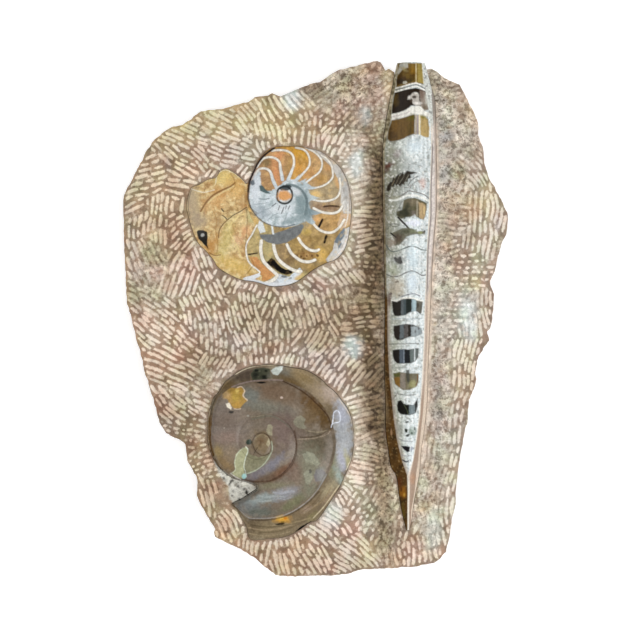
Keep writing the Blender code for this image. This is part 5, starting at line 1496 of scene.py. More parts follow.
def lower_paint(points):
    at = pixels(points)
    radius, _, edge, _, inner = coil(points[:, :2])
    broad = clouds(at, 16, 52)
    small = clouds(at, 5, 54)

    shell = plain(at, 47, 42, 36)
    shell = veil(shell, 2 * broad + 0.1, 0.6, 53, 48, 42)
    shell = draw(shell, at, LOWER_VIEW, COIL_MARKS, 0.5 * small)
    # a dark line along the seam between the whorls, partly its own colour and partly painted shade,
    # deeper towards the lower right
    seam = 1 - smooth((np.abs(radius - inner) - 0.15 * MM) / (0.7 * MM))
    lower_right = smooth((at[:, 0] - 262) / 20) * smooth((at[:, 1] - 425) / 15)
    shell = lay(shell, seam * (0.3 + 0.3 * lower_right), colour(24, 16, 11))

    skirt = plain(at, 47, 41, 32)
    skirt = veil(skirt, 2 * broad, 1, 55, 50, 41)
    skirt = draw(skirt, at, LOWER_VIEW, SKIRT_MARKS, 0.5 * small)
    coat = lay(skirt, smooth((edge - radius) / (0.6 * MM) + 0.5), shell)
    coat = draw(coat, at, LOWER_VIEW, RIM_MARKS, 0.2 * small)
    return finished(coat * (1 + 0.14 * small + 0.12 * clouds(at, 2.5, 56))[:, None])


def make_lower(loop):
    material = polished("grey_limestone_looks", 0.2, 0.25, 1.2 * MM, 0.85, 1.15)
    return make_ammonite("lower_ammonite_relief", loop, 4, lower_height, lower_paint, material)


# The slab

RIM_STEP = 1.6 * MM
RIM_CHIPS = 0.9 * MM
RIM_CHIP_LENGTH = 5 * MM
OPENING_STEP = 0.3 * MM  # from the rim down to the next point of the open socket
WALL_LEVELS = 16
WALL_GRIT = 1.2 * MM
GRIT_LENGTH = 4 * MM
RUBBLE = 0.35 * MM  # unevenness of the face between the lumps and the strokes
RUBBLE_LENGTH = 7 * MM
ROUGHNESS = 0.12 * MM
STROKE_DEPTH = 0.4 * MM
PIT_DEPTH = 1.1 * MM
PIT_LENGTH = 3.2 * MM
PLAIN_TONE = 0.5
STROKE_HALF_WIDTH = 1.36 * MM
FLOOR_SHARE = 0.4  # of a stroke's half-width is its level floor
ROW_PITCH = 3.05 * MM
PATCH_SPACING = 17 * MM
PATCH_REACH = 21 * MM
PATCH_OVERLAP = 5 * MM
CLEARANCE = 2.25 * MM  # between the middles of strokes of two patches
# Spread of the blows' angles about the measured ones, and about those that face a fossil
ANGLE_SPREAD = 9
FACING_SPREAD = 8
# Nearer to a fossil than the first, and farther from every measured blow than the second,
# the blows point at the fossil
FACING_REACH = 8 * MM
MEASURED_REACH = 9 * MM
SHORTEST_STROKE = 1 * MM
# How much the rows' pitch, the strokes' half-widths and their lengths vary, as shares
PITCH_RANGE = (0.88, 1.12)
HALF_WIDTH_RANGE = (0.88, 1.08)
LENGTH_RANGE = (0.8, 1.8)
ROW_SHIFT = 0.16  # spread of a row's place, in millimetres
STROKE_SEED = 8
PATCH_SEED = 17
FILL_SEED = 19
ROUGHNESS_SEED = 29
# Least distances from an edge: of a stroke's middle, of its points and of the points between
STROKE_MARGIN = 1.3 * MM
POINT_MARGIN = 0.2 * MM
FILL_MARGIN = 0.6 * MM
FILL_CLEARANCE = 0.5 * MM
WIDTH_CHANGE_LENGTH = 4 * MM
PATH_STEP = 0.75 * MM
FEWEST_POINTS = 4
LINE = 0.2 * MM  # of uncut stone between the rims of two strokes
CROSSED = 0.55  # a rim point deeper than this lies in another stroke
PATCH_BEND = 2.5 * MM
WANDER_LENGTH = 13 * MM
WANDER = 1.2 * MM
FILL_SPACING = 1.15 * MM
CREAM_STRIP = 1.7 * MM  # polished stone beside the orthoceras
# Unstruck places between the patches
BARE_LENGTH = 15 * MM
BARE_LEVEL = 0.95

# Directions of the chisel blows at pixels of the photograph: x, y, degrees
# anticlockwise, and length in pixels. Short ones are dots; none is unchiselled stone.
BLOWS = [
    (185, 124, -35, 11), (165, 138, -35, 11), (222, 125, -25, 11), (255, 125, -57, 13),
    (285, 125, -57, 12), (192, 167, -50, 10), (148, 182, 18, 9), (175, 212, 90, 9),
    (187, 255, 62, 16), (187, 285, 62, 16), (210, 256, -60, 9), (137, 258, -65, 9),
    (182, 315, -50, 10), (210, 307, -75, 9), (232, 310, -60, 9), (147, 330, -35, 10),
    (158, 342, -80, 9), (152, 362, -30, 10), (182, 385, -28, 16), (172, 397, -40, 10),
    (192, 350, -50, 9), (167, 428, -35, 9), (240, 350, 90, 6), (225, 370, 65, 9),
    (192, 430, 0, 3), (205, 500, -62, 16), (220, 515, -62, 16), (235, 530, -62, 16),
    (270, 562, -65, 10), (310, 564, -55, 10), (275, 544, 90, 6), (317, 135, 72, 10),
    (322, 88, 25, 7), (357, 92, 40, 3), (367, 135, 0, 3), (439, 90, 0, 3), (450, 92, 0, 9),
    (470, 122, 20, 0), (480, 172, -52, 12), (494, 200, 88, 18), (494, 240, 92, 16),
    (446, 224, 0, 9), (470, 207, -50, 12), (437, 275, 0, 3), (470, 360, 90, 10),
    (460, 410, 80, 10), (450, 470, 80, 12), (448, 520, 88, 16), (417, 554, -80, 9),
    (402, 555, -60, 9), (360, 395, 30, 14), (358, 420, 15, 16), (358, 440, 0, 16),
    (357, 465, -10, 14), (355, 480, -18, 14), (376, 420, 0, 2), (345, 530, -50, 13),
    (305, 360, 60, 11), (330, 365, 50, 12), (335, 377, 45, 12), (371, 320, 0, 7),
    (345, 280, -42, 10), (310, 297, -75, 9), (282, 298, 90, 9), (361, 195, 0, 13),
    (361, 225, 0, 13), (240, 487, 0, 0), (381, 250, 0, 3), (381, 330, 0, 3), (381, 460, 0, 3),
    (385, 520, 70, 4),
]

# Colours of the uncut stone and of the bruised stone in the strokes, in percent
TONES = {
    "mauve": ((62, 54, 47), (92, 87, 81)),
    "honey": ((76, 67, 50), (96, 91, 76)),
    "tan": ((69, 58, 45), (93, 85, 72)),
    "peach": ((69, 55, 44), (97, 88, 78)),
    "salmon": ((70, 55, 48), (97, 86, 79)),
    "orange": ((70, 57, 43), (92, 82, 68)),
    "rust": ((56, 42, 33), (82, 69, 58)),
    "rose": ((59, 47, 42), (89, 79, 74)),
    "moss": ((50, 45, 32), (81, 78, 63)),
    "sage": ((60, 59, 49), (89, 89, 81)),
    "pale": ((76, 70, 62), (97, 94, 88)),
    "lilac": ((62, 57, 56), (91, 86, 85)),
    "calcite": ((80, 84, 83), (96, 98, 97)),
    "umber": ((47, 38, 29), (79, 71, 60)),
    # the next two also colour the groove along the orthoceras's left side, where they are partly
    # painted shadow
    "dark": ((33, 26, 17), (64, 56, 44)),
    "pitch": ((20, 15, 10), (52, 44, 33)),
    "ash": ((66, 64, 60), (93, 91, 87)),
    "slate": ((48, 47, 46), (77, 77, 77)),
    "grey": ((60, 57, 51), (84, 81, 75)),
}
# Where each tone lies: x, y, half-width, half-height in pixels, and strength
STAINS = [
    ("honey", (215, 112, 95, 26, 0.9), (285, 129, 28, 14, 0.7), (168, 136, 24, 12, 0.7)),
    ("tan", (160, 195, 42, 58, 0.8), (220, 300, 24, 18, 0.4), (195, 480, 22, 60, 0.7),
     (225, 512, 22, 26, 0.6), (460, 380, 18, 22, 0.5)),
    ("peach", (260, 560, 60, 20, 0.5), (160, 345, 44, 50, 0.8), (200, 162, 22, 16, 0.5),
     (275, 558, 46, 16, 0.8), (320, 128, 18, 9, 0.6), (325, 380, 14, 8, 0.5),
     (438, 550, 7, 12, 0.6), (210, 400, 12, 24, 0.4)),
    ("pale", (352, 190, 15, 62, 0.9), (338, 160, 20, 22, 0.5), (334, 266, 20, 22, 0.7),
     (353, 455, 15, 60, 0.9), (155, 334, 13, 13, 0.6), (283, 356, 9, 8, 0.5),
     (488, 240, 16, 46, 0.7), (455, 520, 12, 40, 0.5)),
    ("salmon", (178, 268, 28, 14, 0.7), (186, 352, 13, 14, 0.6), (140, 318, 12, 14, 0.5),
     (315, 141, 28, 5, 0.5), (312, 546, 9, 11, 0.6), (346, 530, 15, 13, 0.8),
     (324, 567, 18, 8, 0.8), (412, 551, 22, 14, 0.8), (357, 472, 8, 12, 0.5),
     (364, 225, 6, 22, 0.4), (488, 286, 6, 12, 0.5), (430, 440, 6, 12, 0.5)),
    ("rose", (368, 88, 15, 18, 0.7), (350, 108, 17, 12, 0.7), (325, 116, 15, 6, 0.5),
     (320, 288, 8, 9, 0.7), (309, 312, 11, 9, 0.6), (262, 290, 26, 5, 0.5),
     (446, 226, 10, 15, 0.7), (452, 268, 7, 10, 0.5), (441, 425, 6, 9, 0.6)),
    ("lilac", (200, 328, 15, 12, 0.4), (235, 345, 15, 10, 0.4), (322, 355, 24, 14, 0.6),
     (336, 372, 11, 15, 0.6), (442, 160, 8, 14, 0.6), (503, 228, 5, 8, 0.7),
     (441, 385, 7, 11, 0.7)),
    ("sage", (331, 92, 7, 14, 0.6), (282, 326, 15, 14, 0.6), (371, 515, 9, 15, 0.6),
     (456, 122, 7, 7, 0.6), (480, 186, 15, 9, 0.7), (443, 292, 10, 14, 0.7),
     (480, 318, 9, 14, 0.5), (484, 340, 5, 7, 0.6), (445, 443, 13, 10, 0.6),
     (422, 485, 6, 12, 0.6), (435, 522, 13, 15, 0.7), (434, 541, 7, 7, 0.6),
     (250, 150, 12, 14, 0.5), (480, 262, 12, 10, 0.5), (160, 300, 30, 12, 0.4)),
    ("honey", (157, 237, 8, 7, 0.7), (361, 70, 9, 6, 0.6), (370, 551, 13, 12, 0.7),
     (391, 84, 8, 18, 0.8), (492, 200, 12, 16, 0.5), (470, 283, 16, 10, 0.5),
     (465, 350, 11, 9, 0.6), (450, 468, 8, 14, 0.5)),
    ("moss", (155, 250, 13, 14, 0.7), (132, 297, 8, 9, 0.8), (138, 184, 6, 7, 0.6),
     (150, 290, 18, 10, 0.4), (228, 285, 7, 10, 0.5), (162, 259, 12, 6, 0.5),
     (268, 308, 26, 14, 0.5), (253, 322, 10, 9, 0.6), (300, 122, 9, 10, 0.5),
     (270, 98, 7, 8, 0.6), (378, 140, 9, 20, 0.8), (322, 335, 7, 13, 0.7), (182, 405, 7, 9, 0.6),
     (190, 426, 13, 12, 0.5), (204, 372, 8, 20, 0.6), (362, 563, 9, 7, 0.7),
     (388, 505, 13, 32, 0.6), (383, 540, 8, 11, 0.9), (424, 507, 8, 7, 0.8),
     (458, 171, 8, 10, 0.9), (345, 84, 7, 11, 0.7), (206, 340, 7, 7, 0.3)),
    ("grey", (435, 88, 7, 20, 0.8), (437, 104, 7, 26, 0.8), (440, 158, 6, 34, 0.7),
     (447, 115, 10, 12, 0.6), (461, 232, 10, 10, 0.6), (440, 325, 10, 24, 0.7),
     (362, 117, 11, 9, 0.6), (354, 298, 12, 13, 0.6)),
    ("umber", (451, 86, 12, 14, 0.6), (465, 144, 17, 9, 0.6), (477, 155, 8, 7, 0.6),
     (447, 202, 7, 7, 0.7), (472, 237, 7, 6, 0.7), (474, 385, 5, 8, 0.5), (433, 466, 8, 11, 0.8),
     (436, 497, 7, 7, 0.8), (357, 290, 9, 15, 0.8), (345, 318, 15, 26, 0.8),
     (348, 121, 9, 7, 0.7), (366, 430, 8, 60, 0.5), (382, 470, 11, 34, 0.8),
     (357, 368, 8, 9, 0.5), (305, 325, 55, 22, 0.5), (350, 88, 30, 14, 0.4),
     (447, 220, 8, 56, 0.6), (438, 392, 6, 26, 0.6), (222, 358, 15, 10, 0.8),
     (318, 336, 14, 10, 0.6), (363, 240, 8, 60, 0.5), (357, 375, 10, 12, 0.6),
     (350, 300, 18, 40, 0.6), (330, 335, 22, 34, 0.5), (192, 360, 12, 22, 0.6),
     (280, 320, 50, 22, 0.35), (300, 560, 44, 16, 0.45), (170, 420, 20, 34, 0.4),
     (392, 540, 16, 26, 0.5), (200, 500, 18, 30, 0.35), (344, 115, 30, 30, 0.3)),
    ("rust", (172, 230, 12, 18, 0.8), (183, 247, 9, 12, 0.8), (174, 256, 6, 6, 0.8),
     (150, 222, 16, 6, 0.5), (167, 163, 6, 8, 0.8), (174, 184, 6, 8, 0.6), (169, 284, 6, 7, 0.7),
     (374, 68, 8, 8, 0.9), (181, 357, 5, 5, 0.7), (167, 411, 10, 7, 0.7), (158, 400, 5, 11, 0.5),
     (192, 446, 7, 9, 0.8), (213, 487, 12, 7, 0.7), (228, 524, 8, 8, 0.7), (208, 462, 9, 11, 0.5),
     (248, 355, 9, 5, 0.5), (270, 348, 9, 6, 0.7), (457, 262, 5, 10, 0.8), (413, 537, 7, 5, 0.7),
     (361, 308, 8, 6, 0.8)),
    ("orange", (124, 285, 5, 60, 0.7), (468, 112, 14, 16, 0.8), (470, 208, 15, 14, 0.7),
     (446, 244, 6, 6, 0.6), (222, 537, 13, 6, 0.7), (240, 540, 17, 7, 0.6), (287, 567, 9, 7, 0.7),
     (300, 543, 9, 7, 0.6), (395, 560, 9, 7, 0.6), (286, 144, 5, 4, 0.5)),
    # down x 362 to 384 the dark and pitch stains are partly painted shadow, cast by the raised
    # orthoceras into the groove along its left side, over dark rough stone
    ("dark", (362, 320, 9, 40, 0.7), (366, 400, 7, 40, 0.6), (316, 92, 9, 10, 0.8),
     (303, 86, 6, 6, 0.6), (380, 172, 7, 22, 0.8), (379, 225, 7, 55, 1.0),
     (376, 300, 12, 34, 0.9), (377, 372, 10, 40, 0.9), (378, 418, 10, 24, 0.95),
     (438, 408, 6, 9, 0.9), (364, 129, 7, 6, 0.5), (433, 84, 5, 14, 0.6), (436, 118, 5, 14, 0.5),
     (371, 265, 8, 130, 0.9), (384, 490, 7, 50, 0.6), (378, 455, 9, 26, 0.7)),
    ("pitch", (378, 185, 8, 34, 0.8), (377, 235, 6, 40, 0.7), (378, 262, 6, 24, 0.8),
     (376, 385, 8, 50, 0.85), (382, 165, 6, 18, 0.7), (377, 420, 7, 26, 0.7),
     (378, 300, 5, 20, 0.5)),
    ("ash", (455, 130, 20, 34, 0.5), (457, 320, 18, 50, 0.5), (440, 250, 8, 80, 0.4),
     (447, 440, 16, 50, 0.5), (438, 160, 6, 40, 0.6)),
    ("slate", (447, 136, 7, 7, 0.8), (168, 165, 4, 8, 0.4), (447, 178, 7, 10, 0.6),
     (437, 400, 5, 50, 0.4)),
    ("calcite", (292, 99, 9, 11, 1.0), (356, 164, 7, 14, 0.9), (345, 195, 4, 26, 0.6),
     (365, 115, 6, 8, 0.6), (352, 348, 9, 10, 1.0), (468, 316, 10, 22, 0.9),
     (331, 515, 10, 13, 0.6), (433, 532, 8, 18, 0.4)),
]
FILLER = [
    (213, 460), (222, 466), (240, 476), (258, 489), (247, 496), (234, 505), (230, 499), (228, 486),
    (221, 477),
]
# Where the slab is blotched and pitted more than struck: x, y, half-width, half-height, strength
ROUGH = [
    (345, 86, 40, 24, 0.85), (362, 150, 14, 60, 0.4), (381, 250, 7, 190, 0.6),
    (441, 110, 18, 50, 0.95), (468, 128, 22, 34, 0.85), (450, 190, 20, 34, 0.85),
    (441, 270, 15, 50, 0.8), (440, 400, 11, 80, 0.85), (428, 500, 16, 50, 0.6),
    (386, 505, 10, 70, 0.7), (368, 430, 12, 60, 0.4), (152, 275, 18, 34, 0.5),
    (354, 298, 12, 13, 0.7), (208, 380, 12, 14, 0.5), (240, 487, 15, 13, 0.6),
    (318, 320, 40, 26, 0.2), (470, 310, 14, 24, 0.5),
]


def slab_edge(socket):
    """The slab's outline, and the first and last number of its points inside a socket."""
    points = []
    for start, end in segments(metres(SLAB_OUTLINE), True):
        count = max(1, math.ceil(math.dist(start, end) / RIM_STEP))
        points += [start + (end - start) * i / count for i in range(count)]
    points = np.array(points)
    points = moved_in(points, np.abs(clouds(points, RIM_CHIP_LENGTH, 61, 2)) * RIM_CHIPS)
    return points, *np.flatnonzero(inside(points, socket))[[0, -1]]


def moved_in(points, amount):
    return points * (1 - amount / np.linalg.norm(points, axis=1))[:, None]


def unevenness(points, level):
    """Noise from 0 to 1 round the broken side, at a share of its height."""
    places = [Vector((x, y, level * SLAB_THICKNESS)) / WALL_NOISE_LENGTH for x, y in points]
    return np.array([0.5 + 0.5 * noise.noise(place) for place in places])


def clear_of(points, outer, holes, margin):
    """Whether each point lies inside a loop and outside the holes, clear of all their edges."""
    clear = inside(points, outer) & (nearness(points, outer) > margin)
    for hole in holes:
        clear &= ~inside(points, hole) & (nearness(points, hole) > margin)
    return clear


def blow_field(outer, holes):
    """Chisel blows as short paths with a width, packed in patches of parallel rows."""
    draw_number = random.Random(STROKE_SEED)
    centres = net(outer, PATCH_SPACING, PATCH_SEED, 0.42)
    measured = spot([blow[:2] for blow in BLOWS])
    hole_gaps = [nearness(centres, hole) for hole in holes]
    rows = []
    for number in draw_number.sample(range(len(centres)), len(centres)):
        centre = centres[number]
        gaps = np.hypot(*(measured - centre).T)
        blow = BLOWS[int(gaps.argmin())]
        angle, length = blow[2] + draw_number.gauss(0, ANGLE_SPREAD), blow[3] * PIXEL * MM
        nearest_hole = int(np.argmin([gap[number] for gap in hole_gaps]))
        if hole_gaps[nearest_hole][number] < FACING_REACH and gaps.min() > MEASURED_REACH:
            angle = facing_angle(centre, holes[nearest_hole])
            angle += draw_number.gauss(0, FACING_SPREAD)
        if length >= SHORTEST_STROKE:
            rows += patch_rows(number, centre, math.radians(angle), length, draw_number)
    return cut_strokes(rows, centres, outer, holes, draw_number)


def facing_angle(point, hole):
    nearest = hole[np.hypot(*(hole - point).T).argmin()]
    across = point - nearest
    return math.degrees(math.atan2(across[1], across[0]))


def patch_rows(number, centre, angle, length, draw_number):
    """Rows over a disc round one patch's centre: owner, path, length of a stroke and tone."""
    along = np.array([math.cos(angle), math.sin(angle)])
    across = np.array([-along[1], along[0]])
    pitch = ROW_PITCH * draw_number.uniform(*PITCH_RANGE)
    count = int(PATCH_REACH / pitch)
    tone = draw_number.random()
    bend = draw_number.gauss(0, 1) * PATCH_BEND
    steps = np.arange(-PATCH_REACH, PATCH_REACH, PATH_STEP)
    result = []
    for row in range(-count, count + 1):
        shift = draw_number.gauss(0, ROW_SHIFT) * MM
        offset = row * pitch + shift + bend * (steps / PATCH_REACH) ** 2
        path = centre + along * steps[:, None] + across * offset[:, None]
        result.append((number, path, length, tone))
    return result


def wandering(points):
    """Points moved to and fro a little, so that the rows of strokes waver."""
    shift = [clouds(points, WANDER_LENGTH, layer, 2) for layer in (91, 97)]
    return points + np.stack(shift, 1) * WANDER


def cut_strokes(rows, centres, outer, holes, draw_number):
    """Strokes along the parts of the rows that lie by their own patch, clear of the edges
    and of the other patches."""
    lengths = [len(path) for _, path, _, _ in rows]
    owner = np.repeat([number for number, _, _, _ in rows], lengths)
    everything = np.vstack([path for _, path, _, _ in rows])
    own = np.hypot(*(everything - centres[owner]).T)
    good = own < nearness(everything, centres) + PATCH_OVERLAP
    everything = wandering(everything)
    good &= clear_of(everything, outer, holes, STROKE_MARGIN)
    good &= clouds(everything, BARE_LENGTH, 99) < BARE_LEVEL
    taken = {}
    strokes = []
    ends = np.cumsum(lengths)
    for (number, _, length, tone), first, last in zip(rows, ends - lengths, ends):
        path = everything[first:last]
        free = [ok and is_free(taken, point, number) for ok, point in zip(good[first:last], path)]
        for start, end in cuts(free, length / PATH_STEP, draw_number):
            half = STROKE_HALF_WIDTH * draw_number.uniform(*HALF_WIDTH_RANGE)
            strokes.append((path[start:end], half, 0.6 * tone + 0.4 * draw_number.random()))
            for point in path[start:end]:
                taken.setdefault(cell(point), []).append((number, point))
    return strokes


def cuts(free, size, draw_number):
    """First and last point of each stroke along the free parts of a row."""
    fewest = min(FEWEST_POINTS, max(2, round(size)))
    result = []
    for start, end in runs(free):
        at = start
        while end - at >= fewest:
            stop = at + max(fewest, round(size * draw_number.uniform(*LENGTH_RANGE)))
            if end - stop < fewest + 3:
                stop = end
            result.append((at, stop))
            at = stop + draw_number.choice((2, 3, 3))
    return result


def cell(point):
    return math.floor(point[0] / CLEARANCE), math.floor(point[1] / CLEARANCE)


def is_free(taken, point, number):
    """Whether no stroke of another patch passes too near the point."""
    across, up = cell(point)
    for i in (across - 1, across, across + 1):
        for j in (up - 1, up, up + 1):
            for other, place in taken.get((i, j), ()):
                if other != number and math.dist(place, point) < CLEARANCE:
                    return False
    return True


def runs(flags):
    """Where each unbroken run of true flags starts and ends."""
    edges = np.flatnonzero(np.diff([False, *flags, False]))
    return zip(edges[::2], edges[1::2])


def stroke_widths(strokes):
    """Half-widths along each stroke: uneven, less towards its ends, and clear of the others."""
    sizes = [len(path) for path, _, _ in strokes]
    points = np.vstack([path for path, _, _ in strokes])
    owner = np.repeat(np.arange(len(strokes)), sizes)
    taper = np.concatenate([1 - 0.3 * np.abs(np.linspace(-1, 1, size)) ** 3 for size in sizes])
    reach = np.repeat([half for _, half, _ in strokes], sizes) * taper
    reach *= 1 + 0.25 * grain(points, WIDTH_CHANGE_LENGTH, 93)
    tree = tree_of(points)
    for i, point in enumerate(points):
        found = tree.find_range((*point, 0), 3 * STROKE_HALF_WIDTH)
        gap = min([away for _, other, away in found if owner[other] != owner[i]], default=1)
        reach[i] = min(reach[i], max((gap - LINE) / 2, 0.4 * STROKE_HALF_WIDTH))
    return np.split(reach, np.cumsum(sizes)[:-1])


def stroke_points(path, reach):
    """Points on a stroke's middle and on the edges of its floor, and points on its rim."""
    if len(path) > 3:
        kept = [*range(0, len(path) - 1, 2), len(path) - 1]
        path, reach = path[kept], reach[kept]
    along = np.gradient(path, axis=0)
    along /= np.linalg.norm(along, axis=1)[:, None]
    across = np.stack([-along[:, 1], along[:, 0]], 1) * reach[:, None]
    floor = np.vstack([path, path + across * FLOOR_SHARE, path - across * FLOOR_SHARE])
    ends = [path[0] - along[0] * reach[0], path[-1] + along[-1] * reach[-1]]
    return floor, np.vstack([path + across, path - across, ends])


def depth_shares(points, strokes, widths):
    """How deep in a stroke each point lies: 1 on the floor of one, 0 outside them all."""
    reach = np.concatenate(widths)
    tree = tree_of(np.vstack([path for path, _, _ in strokes]))
    result = np.ones(len(points))
    for i, point in enumerate(points):
        found = tree.find_range((*point, 0), STROKE_HALF_WIDTH * 1.3)
        result[i] = min([away / reach[number] for _, number, away in found], default=1)
    return np.clip((1 - result) / (1 - FLOOR_SHARE), 0, 1)


# Below this depth the colours shift sideways by these shares of the depth
BEDDED = 5 * MM
BEDDING = (1.5, -1.1)


def stained(at, wobble):
    """Colours of the uncut and of the bruised stone."""
    ground, chalk = (plain(at, *tone) for tone in TONES["mauve"])
    for name, *places in STAINS:
        for x, y, width, height, strength in places:
            near = np.flatnonzero((np.abs(at - (x, y)) < (2 * width, 2 * height)).all(1))
            mask = disc(at[near], x, y, width, height, 0, 0.6, wobble[near]) * strength * 0.85
            ground[near] = lay(ground[near], mask, colour(*TONES[name][0]))
            chalk[near] = lay(chalk[near], mask, colour(*TONES[name][1]))

    # drifts of green and of pink, and brown spots
    drift = clouds(at, 15, 73)
    greener = np.clip(2.4 * drift - 0.1, 0, 1)[:, None]
    pinker = np.clip(-2.4 * drift - 0.1, 0, 1)[:, None]
    ground = 0.95 * ground * (1 - greener * (0.06, 0, 0.1)) * (1 - pinker * (-0.01, 0.06, 0.08))
    chalk = 1.02 * chalk * (1 - greener * (0.04, 0, 0.07)) * (1 - pinker * (-0.01, 0.04, 0.06))
    spots = 3 * clouds(at, 7, 75) - 0.9
    return veil(ground, spots, 0.5, 48, 37, 27), veil(chalk, spots, 0.4, 76, 64, 52)


def slab_paint(points, tones):
    """Colours of the uncut and the bruised stone, and how blotched it is, at each point."""
    # down the broken sides the stains run aslant through the stone
    depth = np.maximum(SLAB_THICKNESS - BEDDED - points[:, 2], 0)
    at = pixels(np.column_stack([points[:, :2] + depth[:, None] * BEDDING, points[:, 2]]))
    wobble = clouds(at, 12, 71) * 0.35
    ground, chalk = stained(at, wobble)
    chalk *= (0.86 + 0.24 * tones)[:, None]
    blotched = np.zeros(len(at))
    for x, y, width, height, strength in ROUGH:
        blotched = np.maximum(blotched, disc(at, x, y, width, height, 0, 0.5, wobble) * strength)
    blotch = 1 + 0.5 * blotched * clouds(at, 10, 79)
    shade = 0.96 + 0.3 * clouds(at, 9, 77)

    # the filler in the lower ammonite's notch, and the polished strip beside the orthoceras
    filler = patch(at, FILLER, 1.5, wobble)
    black = filler * smooth(4 * clouds(at, 3.4, 85, 2) - 0.9)
    beside = points[:, 0] - column(metres(ORTHOCERAS), 3, points[:, 1])
    strip = smooth((CREAM_STRIP - beside) / MM + 0.5) * (beside > 0)
    strip = strip * between(at[:, 1], 118, 8, 472, 8)

    def dressed(coat, white, dark, cream):
        coat = lay(lay(coat, filler, colour(*white)), black, colour(*dark))
        return lay(coat, strip * 0.9, colour(*cream))

    ground = dressed(ground, (78, 77, 72), (16, 15, 13), (87, 80, 73))
    chalk = dressed(chalk, (92, 91, 87), (22, 20, 18), (90, 84, 77))
    ground = np.clip(ground * (shade * blotch)[:, None], 0, 1)
    chalk = np.clip(chalk * blotch[:, None], 0, 1)
    return ground, chalk, blotched * (1 - strip)


def top_outline(rim, before, after, socket):
    """The rim, which from one of its points to another runs round an open socket instead."""
    half = len(socket) // 2
    left, right = socket[half:], socket[:half][::-1]
    rim[before, 0] = np.interp(rim[before, 1], left[:, 1], left[:, 0])
    rim[after, 0] = np.interp(rim[after, 1], right[:, 1], right[:, 0])
    down = left[left[:, 1] < rim[before, 1] - OPENING_STEP][::-1]
    up = right[right[:, 1] < rim[after, 1] - OPENING_STEP]
    return np.vstack([rim[: before + 1], down, up, rim[after:]]), len(down) + len(up)


def struck_points(strokes, outer, holes):
    """Points on the strokes and between them: place, depth share, and tone of the stroke."""
    widths = stroke_widths(strokes)
    places, on_rim, tones = [], [], []
    for (path, _, tone), reach in zip(strokes, widths):
        floor, edge = stroke_points(path, reach)
        places += [floor, edge]
        on_rim += [False] * len(floor) + [True] * len(edge)
        tones += [tone] * (len(floor) + len(edge))
    places, on_rim, tones = np.vstack(places), np.array(on_rim), np.array(tones)
    shares = depth_shares(places, strokes, widths)
    clear = clear_of(places, outer, holes, POINT_MARGIN) & ~(on_rim & (shares > CROSSED))
    shares[on_rim] = 0

    fill = net(outer, FILL_SPACING, FILL_SEED, 0.3)
    fill = fill[clear_of(fill, outer, holes, FILL_MARGIN)]
    fill = fill[nearness(fill, places[clear]) > FILL_CLEARANCE]
    fill = fill[depth_shares(fill, strokes, widths) == 0]
    return (
        np.vstack([places[clear], fill]),
        np.append(shares[clear], np.zeros(len(fill))),
        np.append(tones[clear], np.full(len(fill), PLAIN_TONE)),
    )


def add_points(points, places):
    """Adds places to the points and returns their numbers."""
    first = len(points)
    points.extend(places)
    return list(range(first, len(points)))


def add_sockets(points, faces, numbers, holes):
    """Walls and floors of the closed sockets, whose upper edges have the given numbers."""
    for hole in holes:
        ring, numbers = numbers[: len(hole)], numbers[len(hole):]
        floor = add_points(points, [(x, y, FLOOR) for x, y in hole])
        for i in range(len(hole)):
            j = (i + 1) % len(hole)
            faces.append([ring[j], ring[i], floor[i], floor[j]])
        faces.append(floor[::-1])


def add_wall(points, faces, edge, rim, before, after):
    """The broken side, from the rim's points down, and the sawn underside.

    Where the orthoceras's socket is open, the side starts at the socket's floor. Returns
    the numbers of the points down each upright line, and the place of the floor in them."""
    floor_share = FLOOR / SLAB_THICKNESS
    levels = sorted({1.0, floor_share, *np.linspace(0, 1, WALL_LEVELS)[:-1]}, reverse=True)
    floor_level = levels.index(floor_share)
    tops = [points[rim[i]][2] if i in rim else SLAB_THICKNESS for i in range(len(edge))]
    uprights = [[rim.get(i)] for i in range(len(edge))]
    for level, part in enumerate(levels[1:], 1):
        grit = [noise.noise((x / GRIT_LENGTH, y / GRIT_LENGTH, part * 9)) for x, y in edge]
        grit = np.abs(grit) * (0 if part in (0.0, floor_share) else WALL_GRIT)
        inset, uneven = (column(WALL, i, part) * MM for i in (1, 2))
        ring = moved_in(edge, inset + uneven * unevenness(edge, part) + grit)
        for i, (x, y) in enumerate(ring):
            if level < floor_level and before < i < after:
                uprights[i].append(None)
                continue
            at_socket = level == floor_level and before <= i <= after
            uprights[i] += add_points(points, [(x, y, FLOOR if at_socket else part * tops[i])])
    for left, right in zip(uprights, uprights[1:] + uprights[:1]):
        for level in range(len(levels) - 1):
            corners = [left[level], right[level], right[level + 1], left[level + 1]]
            if None not in corners:
                faces.append(corners)
    faces.append([upright[-1] for upright in uprights])
    return uprights, floor_level


def add_open_socket(points, faces, notch, uprights, floor_level):
    """Walls and floor of the socket that leaves the slab between the first and last upright."""
    chain = [uprights[0][0], *notch, uprights[-1][0]]
    foot = add_points(points, [(*points[number][:2], FLOOR) for number in chain])
    for i in range(len(chain) - 1):
        faces.append([foot[i + 1], foot[i], chain[i], chain[i + 1]])
    faces.append([foot[0], *uprights[0][: floor_level + 1]][::-1])
    faces.append([foot[-1], *uprights[-1][: floor_level + 1]])
    faces.append([*foot, *[upright[floor_level] for upright in uprights[::-1]]])


